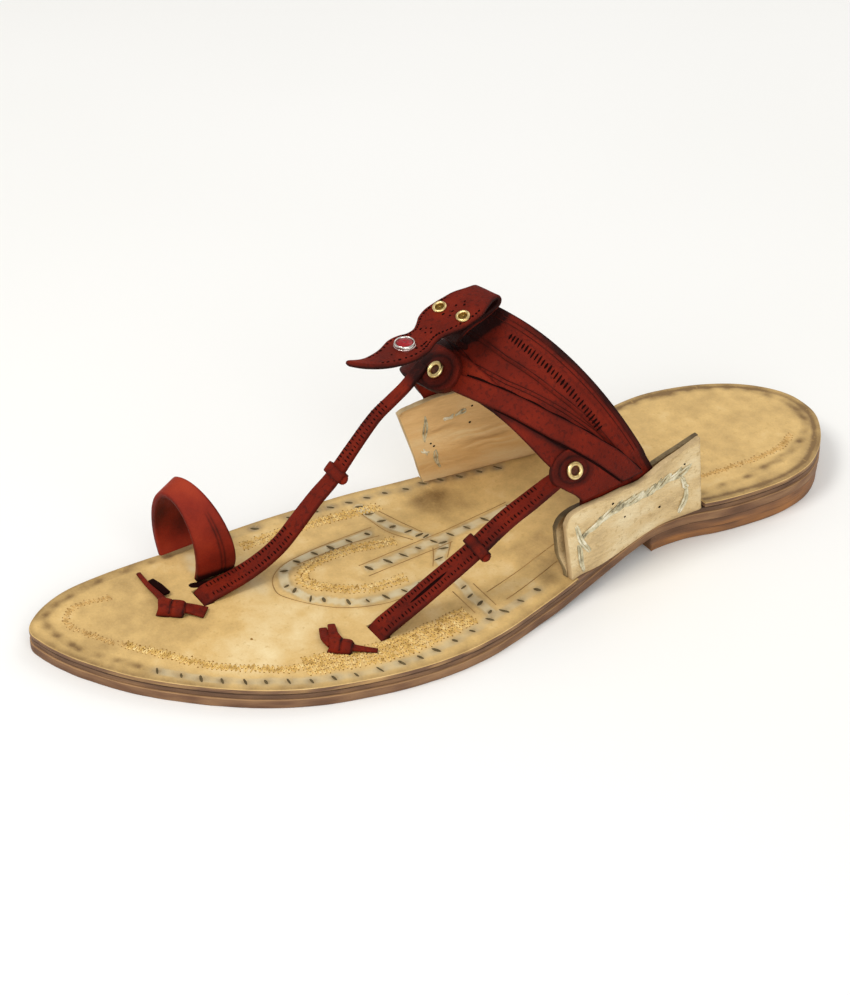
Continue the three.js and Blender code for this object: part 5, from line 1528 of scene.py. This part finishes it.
def makeKeepers():
    count, sides = keeper["turns"], keeper["sides"]
    for name, share in keeperPlaces.items():
        rows = strapFrame(strapRows[name], keeper["rows"])
        i = round(share * keeper["rows"])
        at, along, across, up, width = (rows[key][i] for key in ("at", "along", "across", "up", "width"))
        halfW = width / 2 + keeper["clearance"] + keeper["wall"] / 2
        halfH = strapThickness / 2 + keeper["clearance"] + keeper["wall"] / 2
        turn = np.arange(count) / count * 2 * math.pi
        c, s = np.cos(turn)[:, None], np.sin(turn)[:, None]
        path = at + across * signedPower(c, 0.5) * halfW + up * signedPower(s, 0.5) * halfH
        out = unit(across * signedPower(c, 1.5) / halfW + up * signedPower(s, 1.5) / halfH)
        section = roundedSection(sides, 4.0)
        grid = (path[:, None] + along * (section[:, :1] * keeper["length"])[None]
                + out[:, None] * (section[:, 1:] * keeper["wall"])[None])
        points = grid.reshape(-1, 3)
        i = np.arange(count * sides).reshape(count, sides)
        faces = outward(points, quads(i, np.roll(i, -1, 1), np.roll(np.roll(i, -1, 0), -1, 1), np.roll(i, -1, 0)))
        edge = np.abs(np.tile(section[:, 0], count))
        tone = noiseAt(points, 3.0, 81) * 0.5 - 0.1 - 0.5 * bump((edge - 0.5) / 0.2)
        declare(addPiece(name + "Keeper", points, faces, dyedStrap, tone=tone), "red_leather", "keeper_" + name)
        # the folded end of the ring sticks out at its side
        long, wide, thick = keeper["nub"]
        reach = np.linspace(-0.5, 0.5, 12)[:, None]
        start = at + across * (halfW + 0.5) - up * 0.3
        path = start + along * (reach * long) + across * (0.35 - 1.2 * reach ** 2) - up * (0.8 * reach ** 2)
        swell = 0.55 + 0.45 * np.cos(math.pi * reach[:, 0])
        grid = rings(path, across + 0 * path, up + 0 * path, wide * swell, thick * swell, roundedSection(sides, 2.6))
        tubePiece(name + "KeeperFold", [grid], dyedStrap, "red_leather", "keeper_" + name, drift=(2.0, 82, 0.6))


makeKeepers()


def flatStrip(path, width, thick):
    # a soft strip lying along a path of (x, y, z)
    at = smoothPath(path, 0.8)
    along = gradients(at)
    across = unit(np.cross(along, [0, 0, 1.0]))
    up = np.cross(across, along)
    share = np.linspace(0, 1, len(at))
    w, h = (np.interp(share, np.linspace(0, 1, len(sizes)), sizes) for sizes in (width, thick))
    return rings(at, across, up, w, h, roundedSection(18, 3.5))


def onBed(*points):
    return [(x, y, float(footbed(y)) + z) for x, y, z in points]


# tied ends of the straps: a body of two flat wraps, with tails pressed on the footbed
knots = {
    "medial": {
        "middle": (-17.0, -89.8), "along": (0.65, 0.76), "long": 7.6, "deep": 5.6, "high": 3.1, "seed": 91,
        "tails": [
            ([(-16.2, -88.6, 1.4), (-14.3, -86.6, 1.5), (-12.4, -84.4, 1.1), (-10.3, -82.3, 0.7)],
             (3.8, 3.9, 4.4, 4.9), (1.6, 1.5, 1.3, 1.1)),
            ([(-20.0, -90.6, 1.6), (-24, -90.4, 1.4), (-30.5, -90.6, 0.9), (-37.4, -90.3, 0.6)],
             (2.4, 1.8, 1.5, 1.4), (1.3, 1.1, 0.9, 0.8)),
        ],
        "wrap": [(-32.0, -88.9, 0.9), (-28, -88.5, 1.3), (-23.6, -87.9, 1.3)],
    },
    "lateral": {
        "middle": (23.8, -57.3), "along": (0.67, 0.74), "long": 6.6, "deep": 4.6, "high": 2.7, "seed": 93,
        "tails": [
            ([(22.4, -59.3, 1.3), (19.5, -59.6, 1.6), (16.6, -58.6, 1.0), (14.2, -57.6, 0.7)],
             (3.0, 3.0, 2.7, 2.4), (1.4, 1.3, 1.1, 1.0)),
            ([(22.6, -57.4, 1.8), (19.6, -57.2, 2.0), (16.8, -56.0, 1.5), (14.3, -54.9, 1.0)],
             (3.2, 3.0, 2.6, 2.3), (1.3, 1.2, 1.1, 1.0)),
            ([(25.4, -56.6, 1.3), (27.2, -54.4, 1.2), (29.2, -51.6, 0.8), (30.9, -49.4, 0.6)],
             (3.0, 2.3, 2.0, 1.7), (1.3, 1.1, 0.9, 0.8)),
        ],
        "wrap": None,
    },
}


def knotWrap(knot, shift, size):
    # one turn of the strap over the knot, from the footbed to the footbed
    x, y = knot["middle"]
    along = unit(np.array([*knot["along"], 0.0]))
    side = np.array([along[1], -along[0], 0.0])
    middle = np.array([x, y, float(footbed(y)) + 0.15]) + along * shift
    turn = np.linspace(-0.12, math.pi + 0.12, 30)
    c, s = np.cos(turn), np.maximum(np.sin(turn), 0)
    out = unit(side * c[:, None] + np.array([0, 0, 1.0]) * (s + 0.05)[:, None])
    lean = 0.5 * np.sin(turn * 2)[:, None] * along
    path = middle + side * (signedPower(c, 0.8) * knot["deep"] / 2 * size)[:, None] + lean
    path[:, 2] += s ** 0.7 * (knot["high"] * size - 0.7)
    return rings(path, along + 0 * path, out, knot["long"] * 0.56, 1.3, roundedSection(20, 3.0))


def makeKnots():
    for name, knot in knots.items():
        half = knot["long"] * 0.25
        strips = [knotWrap(knot, -half, 1.0), knotWrap(knot, half, 0.94)]
        strips += [flatStrip(onBed(*path), width, thick) for path, width, thick in knot["tails"]]
        points, faces = tubeMesh(strips)
        low = points[:, 2] - footbed(points[:, 1])
        place = (points[:, :2] - np.array(knot["middle"])) @ unit(np.array(knot["along"]))
        # painted shade: darker near the footbed, across the middle where the two wraps meet, and at the wraps' far end
        tone = noiseAt(points, 3.0, knot["seed"]) * 0.5 - 0.7 * smoothstep(1.2 - low)
        tone -= 1.1 * bump(place / 0.35) * (low > 1.2) + 0.8 * bump((place - knot["long"] * 0.53) / 0.4)
        declare(addPiece(name + "Knot", points, faces, dyedStrap, tone=tone), "red_leather", "knot_" + name)
        if knot["wrap"]:
            binding = flatStrip(onBed(*knot["wrap"]), (2.0, 2.5, 2.2), (1.0, 1.2, 1.0))
            tubePiece(name + "KnotBinding", [binding], cutAndShadeBlack, "red_leather", "knot_" + name)


makeKnots()
print("eyelets, keepers and knots made")

# ---- lace, stitches and scribed lines on the footbed

zigzagLook = {
    "width": 1.9, "pitch": 0.66, "thread": 0.44, "uneven": 0.4, "skipped": 0.12,
    "hole": {"length": 0.5, "width": 0.4, "height": 0.22, "uneven": 0.5, "seed": 9},
    "tack": {"at": (6.8, -76.7), "length": 1.0, "width": 0.8, "height": 0.3, "uneven": 0},
}
zigzagPaths = [
    ([(5, -24), (4.8, -30), (4, -36), (1.5, -40.5), (-1, -44), (-5, -48), (-9, -50.5), (-13, -49), (-15.5, -44),
      (-16, -38), (-15.5, -30), (-13.5, -22), (-12.5, -17)], (-0.9, 1.1)),
    ([(30, -18), (31, -30), (32, -40), (31, -50), (28, -60), (25.5, -70)], (-3.6, -1.9, -0.2, 1.5, 3.2)),
    ([(25.5, -70), (24, -75), (20.5, -80), (17, -85), (13, -90), (8, -94.7), (1, -100), (-4.9, -104.4), (-9.9, -108.1)],
     (-0.5, 0.6)),
    ([(-34, -58), (-34.4, -46), (-33.2, -34), (-31.6, -22), (-30, -12)], (-0.8, 1.2)),
]
trodPaths = [
    ([(-9.9, -108.1), (-12.7, -110.6), (-17, -113.2), (-21, -115.4), (-25, -117.4), (-29, -117.8), (-32.2, -115.6),
      (-33.6, -111.5), (-33.2, -107), (-32.4, -102)], (0.0,)),
    ([(15.5, 72), (16.2, 80), (16.8, 92), (16.8, 100), (15.4, 108), (12, 113.5)], (0.0,)),
]


def surfaceOf(name):
    return BVHTree.FromObject(bpy.data.objects[name], bpy.context.evaluated_depsgraph_get())


def dropped(tree, flat):
    # places on a mesh straight below these (x, y), with the surface's own direction there
    places, normals = [], []
    for x, y in flat:
        place, normal, _, _ = tree.ray_cast(Vector((x / 1000, y / 1000, 0.02)), Vector((0, 0, -1)))
        if place is None:
            place, normal = Vector((x, y, float(footbed(y)))) / 1000, Vector((0, 0, 1))
        places.append(place * 1000)
        normals.append(normal)
    return np.array(places), np.array(normals)


def offsetPath(path, shift):
    return path + rightOf(gradients(path)) * shift


def makeFootbedLace(bed):
    dashAt, dashAlong = [], []
    for name in lacePaths:
        if name in laceLook["bare"]:
            continue
        path = slotPath(name)
        along = gradients(path)
        slant = math.radians(laceLook["slant"].get(name, 24))
        across = rightOf(along)
        dashAt += (path + across * 0.1).tolist()
        dashAlong += (across * math.cos(slant) + along * math.sin(slant)).tolist()
    flat = lambda v: np.concatenate([np.array(v), np.zeros((len(v), 1))], 1)
    places, normals = dropped(bed, dashAt)
    addMarks("laceSlots", places + normals * 0.06, flat(dashAlong), normals, laceLook["dash"], laceSlot, "tan_leather")


def makeZigzag(bed, name, lines, material, dirt):
    threads, holes = [], []
    random = np.random.default_rng(7)
    for path, shifts in lines:
        for shift in shifts:
            line = offsetPath(smoothPath(path, zigzagLook["pitch"]), shift)
            across = rightOf(gradients(line))
            side = np.where(np.arange(len(line)) % 2 == 0, 0.5, -0.5)
            wide = zigzagLook["width"] * (1 + zigzagLook["uneven"] * random.uniform(-1, 1, len(line)))
            corner = line + across * (side * wide)[:, None] + random.uniform(-0.15, 0.15, line.shape)
            for a, b in zip(corner, corner[1:]):
                if random.random() < zigzagLook["skipped"]:
                    continue
                threads.append((a, b))
            holes.append(corner)
    share = np.array([0.04, 0.2, 0.5, 0.8, 0.96])
    arch = np.array([-0.12, 0.05, 0.12, 0.05, -0.12])[:, None]
    thick = zigzagLook["thread"]
    grids = []
    for a, b in threads:
        places, normals = dropped(bed, a + np.outer(share, b - a))
        grids.append(ribbon(places + normals * arch, normals, thick, thick, 6, 2.0))
    tubePiece(name + "Thread", grids, material, "tan_leather", drift=(2.0, 103, 0.9))
    places, normals = dropped(bed, np.concatenate(holes))
    addMarks(name + "Holes", places + normals * 0.02, (1, 0, 0), normals, zigzagLook["hole"], dirt, "tan_leather")


def makeScribedLines(bed):
    grids = [ribbon(*dropped(bed, smoothPath(line, 1.0)), laceLook["lineWidth"], 0.16, 6) for line in grooveLines]
    tubePiece("scribedLines", grids, tooledLine, "tan_leather", drift=(5.0, 105, 0.8))
    tack = zigzagLook["tack"]
    places, normals = dropped(bed, [tack["at"]])
    addMarks("tackHole", places, (1, 0, 0), normals, tack, stitchHole, "tan_leather")


def makeBedMarks():
    bed = surfaceOf("insoleBoard")
    makeFootbedLace(bed)
    makeZigzag(bed, "zigzag", zigzagPaths, goldThread, stitchHole)
    makeZigzag(bed, "trod", trodPaths, dullThread, tooledLine)
    makeScribedLines(bed)


makeBedMarks()
print("footbed laced and stitched")

# ---- slits, tooled lines and pinholes in the red leather

slitLook = {
    "band": {"length": 2.5, "width": 0.62, "height": 0.5, "uneven": 0.22, "seed": 11},
    "strap": {"length": 1.7, "width": 0.42, "height": 0.4, "uneven": 0.3, "seed": 12},
    "pinhole": {"length": 0.95, "width": 0.58, "height": 0.35, "uneven": 0.35, "seed": 13},
    "strapPitch": 1.22, "lineWidth": 0.28,
}


def bandSlits():
    s = np.linspace(19.6, 55.5, 30)
    w = np.interp(s, [19.6, 28.6, 40.5, 55.5], [18.0, 18.7, 19.6, 20.4])
    places = bandLift(s, w, np.full(len(s), wallLook["raised"] + 0.02))
    normals = bandNormal(s, w)
    across = unit(bandPoint(s, w + 0.5) - bandPoint(s, w - 0.5))
    addMarks("bandSlits", places, across, normals, slitLook["band"], cutAndShadeBlack, "red_leather", "upper")


def bandTooling():
    # fine dark lines cut with a dull blade, along (s, w) paths of the band
    face = surfaceOf("bandWall")
    lines = []
    for line in bandLines.values():
        s = np.arange(line[0][0] + 2, line[-1][0] - 2, 0.8)
        lines += [(s, lineAt(line, s) + side) for side in (-0.55, 0.55)]
    s = np.arange(8, bandLength - 8, 1.0)
    lines += [(s, band["width"] - back + 0 * s) for back in (1.5, 2.8)]
    grids = []
    for s, w in lines:
        normals = bandNormal(s, w)
        at, up = [], []
        for place, normal in zip(bandPoint(s, w), normals):
            hit, _, _, _ = face.ray_cast(Vector((place + normal * 4) / 1000), Vector(-normal))
            if hit is not None:
                at.append(np.array(hit) * 1000), up.append(normal)
        grids.append(ribbon(np.array(at), np.array(up), slitLook["lineWidth"], 0.14, 6))
    tubePiece("bandTooling", grids, toolDark, "red_leather", "upper", drift=(4.0, 107, 1))


def strapSlits():
    for name, rows in strapRows.items():
        line = strapFrame(rows, 400)
        run = runAlong(line["at"])
        start, end = (16.5, run[-1] - 3.0) if name == "medial" else (9.0, run[-1] - 3.0)
        at = np.arange(start, end, slitLook["strapPitch"])
        if name == "medial":  # worn away where the strap bends
            at = at[(at < 38) | (at > 62)]
        pick = lambda key: np.stack([np.interp(at, run, line[key][:, k]) for k in range(3)], -1)
        middle, across, up = pick("at"), unit(pick("across")), unit(pick("up"))
        width = np.interp(at, run, line["width"])[:, None]
        rowsAt = [middle + across * width * side + up * (strapThickness / 2 + 0.02) for side in (-0.27, 0.27)]
        places = np.concatenate(rowsAt)
        addMarks(name + "StrapSlits", places, np.concatenate([across, across]), np.concatenate([up, up]),
                 slitLook["strap"], cutAndShadeBlack, "red_leather", "upper")


def strapCut():
    # long cut down the middle of the lateral strap
    line = strapFrame(strapRows["lateral"], 300)
    inside = (line["at"][:, 1] < -22) & (line["at"][:, 1] > -34)
    at, across, up = (line[key][inside] for key in ("at", "across", "up"))
    wide = 1.25 * np.sin(math.pi * np.linspace(0, 1, len(at))) ** 0.5 + 0.05
    grid = rings(at + up * (strapThickness / 2) + across * 0.2, across, up, wide, 0.24, roundedSection(8, 2.0))
    tubePiece("strapCut", [grid], cutAndShadeBlack, "red_leather", "upper")


def tongueSurface(share, side):
    # place on the upper face of the tongue: share of its length, mm across
    line = tongueFrame(400)
    i = np.clip(np.round(np.asarray(share) * 400).astype(int), 0, 400)
    side = np.asarray(side, float)
    up, half = line["up"][i], line["half"][i]
    up = np.where(up[:, 2:] < 0, -up, up)
    place = line["at"][i] + line["across"][i] * side[:, None]
    return place, up, line["along"][i], half


def tonguePins():
    top = surfaceOf("tongueStrip")
    shares = np.linspace(0.5, 0.9, 26)
    places, ups, alongs = [], [], []
    for sign in (-1, 1):
        half = tongueSurface(shares, 0 * shares)[-1]
        place, up, along, _ = tongueSurface(shares, sign * np.maximum(half - 1.1, 0.3))
        places.append(place), ups.append(up), alongs.append(along)
    groups = [(0.485, 0.0), (0.5, 0.9), (0.515, -0.9), (0.545, 0.3), (0.565, 1.2), (0.57, -0.8), (0.655, 0.6),
              (0.665, -0.7), (0.675, 1.6), (0.68, -2.0), (0.69, 0.2), (0.735, 2.9), (0.75, 3.2), (0.765, 3.4),
              (0.785, 3.2), (0.8, 2.9), (0.735, -2.9), (0.76, -3.4), (0.79, -3.3), (0.81, -2.8), (0.825, 0.0),
              (0.85, 0.3)]
    place, up, along, _ = tongueSurface(*np.array(groups).T)
    places.append(place), ups.append(up), alongs.append(along)
    places, ups, alongs = (np.concatenate(v) for v in (places, ups, alongs))
    onTop = []
    for place, up in zip(places, ups):
        hit, _, _, _ = top.ray_cast(Vector((place + up * 6) / 1000), Vector(-up))
        onTop.append(np.array(hit) * 1000 if hit else place)
    addMarks("tonguePinholes", np.array(onTop), alongs, ups, slitLook["pinhole"], cutAndShadeBlack, "red_leather", "tongue")


bandSlits()
bandTooling()
strapSlits()
strapCut()
tonguePins()
print("straps slit and pricked")

# ---- rawhide lacing of the ears

lacing = {
    "width": 1.8, "medialWidth": 1.3, "thick": 0.55, "sink": 0.3, "bow": 0.6,
    "hole": {"length": 1.0, "width": 0.75, "height": 0.4, "uneven": 0.3, "seed": 15},
}
awlHoles = {"lateral": [(0.915, 0.78), (0.40, 0.86), (0.47, 0.545), (0.75, 0.325)],
            "medial": [(0.225, 0.53), (0.46, 0.635), (0.505, 0.805), (0.24, 0.49)]}
lateralStitches = [  # along the ear, up it, from one end of a stitch to the other
    ((0.216, 0.535), (0.342, 0.75)), ((0.271, 0.615), (0.402, 0.79)), ((0.337, 0.67), (0.462, 0.825)),
    ((0.397, 0.71), (0.533, 0.85)), ((0.462, 0.735), (0.598, 0.835)), ((0.518, 0.73), (0.653, 0.8)),
    ((0.583, 0.71), (0.719, 0.775)), ((0.648, 0.685), (0.779, 0.77)), ((0.709, 0.67), (0.839, 0.765)),
    ((0.774, 0.66), (0.905, 0.755)), ((0.839, 0.64), (0.955, 0.72)), ((0.171, 0.79), (0.276, 0.275)),
    ((0.186, 0.495), (0.236, 0.02)), ((0.899, 0.6), (0.935, 0.4)), ((0.935, 0.42), (0.905, 0.06)),
]
medialStitches = [
    ((0.245, 0.86), (0.19, 0.555)), ((0.232, 0.45), (0.238, 0.17)), ((0.15, 0.49), (0.19, 0.42)),
    ((0.335, 0.735), (0.40, 0.765)), ((0.40, 0.755), (0.47, 0.785)),
]


def onEar(rows, a, h, depth, face):
    rows = smoothRows(rows, 100)
    i = np.clip(np.asarray(a) * 100, 0, 100)
    low, up = int(i), min(100, int(i) + 1)
    h = np.array([[h]])
    pick = lambda d: mix(earFace(rows, h, d)[low, 0], earFace(rows, h, d)[up, 0], i - low)
    at, out = pick(depth), unit(pick(depth - 0.5) - pick(depth))
    return at, out * face


def laceStrands(rows, stitches, depth, face, width, seed):
    grids = []
    random = np.random.default_rng(seed)
    for (a0, h0), (a1, h1) in stitches:
        for strand in (-0.26, 0.26):
            share = np.linspace(0, 1, 15)
            places, outs = [], []
            for t in share:
                at, out = onEar(rows, mix(a0, a1, t), mix(h0, h1, t), depth(mix(h0, h1, t)), face)
                places.append(at), outs.append(out)
            places, outs = np.array(places), np.array(outs)
            along = gradients(places)
            across = unit(np.cross(along, outs))
            bow = lacing["bow"] * np.sin(math.pi * share) ** 0.55 - lacing["sink"] + random.uniform(-0.08, 0.08)
            twist = math.radians(random.uniform(14, 34)) * (1 if strand > 0 else -1)
            middleSway = across * (0.3 * np.sin(math.pi * share * 2 + random.uniform(0, 6)))[:, None]
            lean = across * math.cos(twist) + outs * math.sin(twist)
            facing = np.cross(along, lean)
            facing = np.where((facing * outs).sum(-1, keepdims=True) < 0, -facing, facing)
            taper = 0.55 + 0.45 * np.sin(math.pi * share) ** 0.5
            middle = places + outs * bow[:, None] + across * (strand * width * taper)[:, None] + middleSway
            grids.append(rings(middle, unit(lean), unit(facing), width * 0.5 * taper, lacing["thick"],
                               roundedSection(10, 2.6)))
    return grids


def makeLacing():
    outer = lambda h: 0.0
    inner = lambda h: 2 * earPly + float(pocket(h))
    grids = laceStrands(lateralEar, lateralStitches, outer, 1, lacing["width"], 5)
    tubePiece("lateralLacing", grids, rawhide, "ear_leather", drift=(2.4, 111, 0.9))
    grids = laceStrands(medialEar, medialStitches, inner, -1, lacing["medialWidth"], 6)
    tubePiece("medialLacing", grids, rawhide, "ear_leather", drift=(2.4, 112, 0.9))
    for name, rows, depth, face in (("lateral", lateralEar, outer, 1), ("medial", medialEar, inner, -1)):
        at, out = zip(*[onEar(rows, a, h, depth(h), face) for a, h in awlHoles[name]])
        addMarks(name + "EarHoles", np.array(at), (0, 1, 0.2), np.array(out), lacing["hole"], awlDark, "ear_leather")


makeLacing()
print("ears laced")

# ---- floor and light

studio = {"world": 0.62, "floor": 2.5, "target": (-0.01, 0.0, 0.02)}


def makeFloor():
    size = studio["floor"]
    mesh = bpy.data.meshes.new("floor")
    mesh.from_pydata([(-size, -size, 0), (size, -size, 0), (size, size, 0), (-size, size, 0)], [], [(0, 1, 2, 3)])
    material, tree, inMm = newMaterial("paleFloor")
    drift = addNode(tree, "ShaderNodeTexNoise", {"Vector": inMm, "Scale": 0.003, "Detail": 2.0})
    color = addNode(tree, "ShaderNodeValToRGB", {"Fac": drift}, [(0.3, "#f0efec"), (0.7, "#f4f3f1")])
    addShader(tree, {"Base Color": color, "Roughness": 0.85})
    mesh.materials.append(material)
    addObject("floor", mesh)


lamps = (  # name, place in metres, size, watts, tint
    ("key", (0.0, -0.75, 1.15), 0.5, 8.0, (1.0, 0.985, 0.96)),
    ("fill", (1.25, -0.35, 0.75), 1.2, 9.0, (1.0, 1.0, 1.0)),
    ("back", (-0.3, 1.0, 0.9), 1.0, 3.5, (0.98, 0.99, 1.0)),
)


def makeLamps():
    for name, place, size, watts, tint in lamps:
        data = bpy.data.lights.new(name, "AREA")
        data.size, data.energy, data.color = size, watts, tint
        addObject(name, data).matrix_world = aimed(Vector(place), Vector(studio["target"]))
    world = bpy.data.worlds.new("studio")
    world.use_nodes = True
    background = world.node_tree.nodes["Background"]
    background.inputs["Color"].default_value = linear("#f4f4f2")
    background.inputs["Strength"].default_value = studio["world"]
    bpy.context.scene.world = world
    bpy.context.scene.view_settings.view_transform = "Standard"  # keeps the dyes as bright as they are


makeFloor()
makeLamps()

bpy.data.objects.remove(markLens)

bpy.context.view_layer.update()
print("sandal dressed")
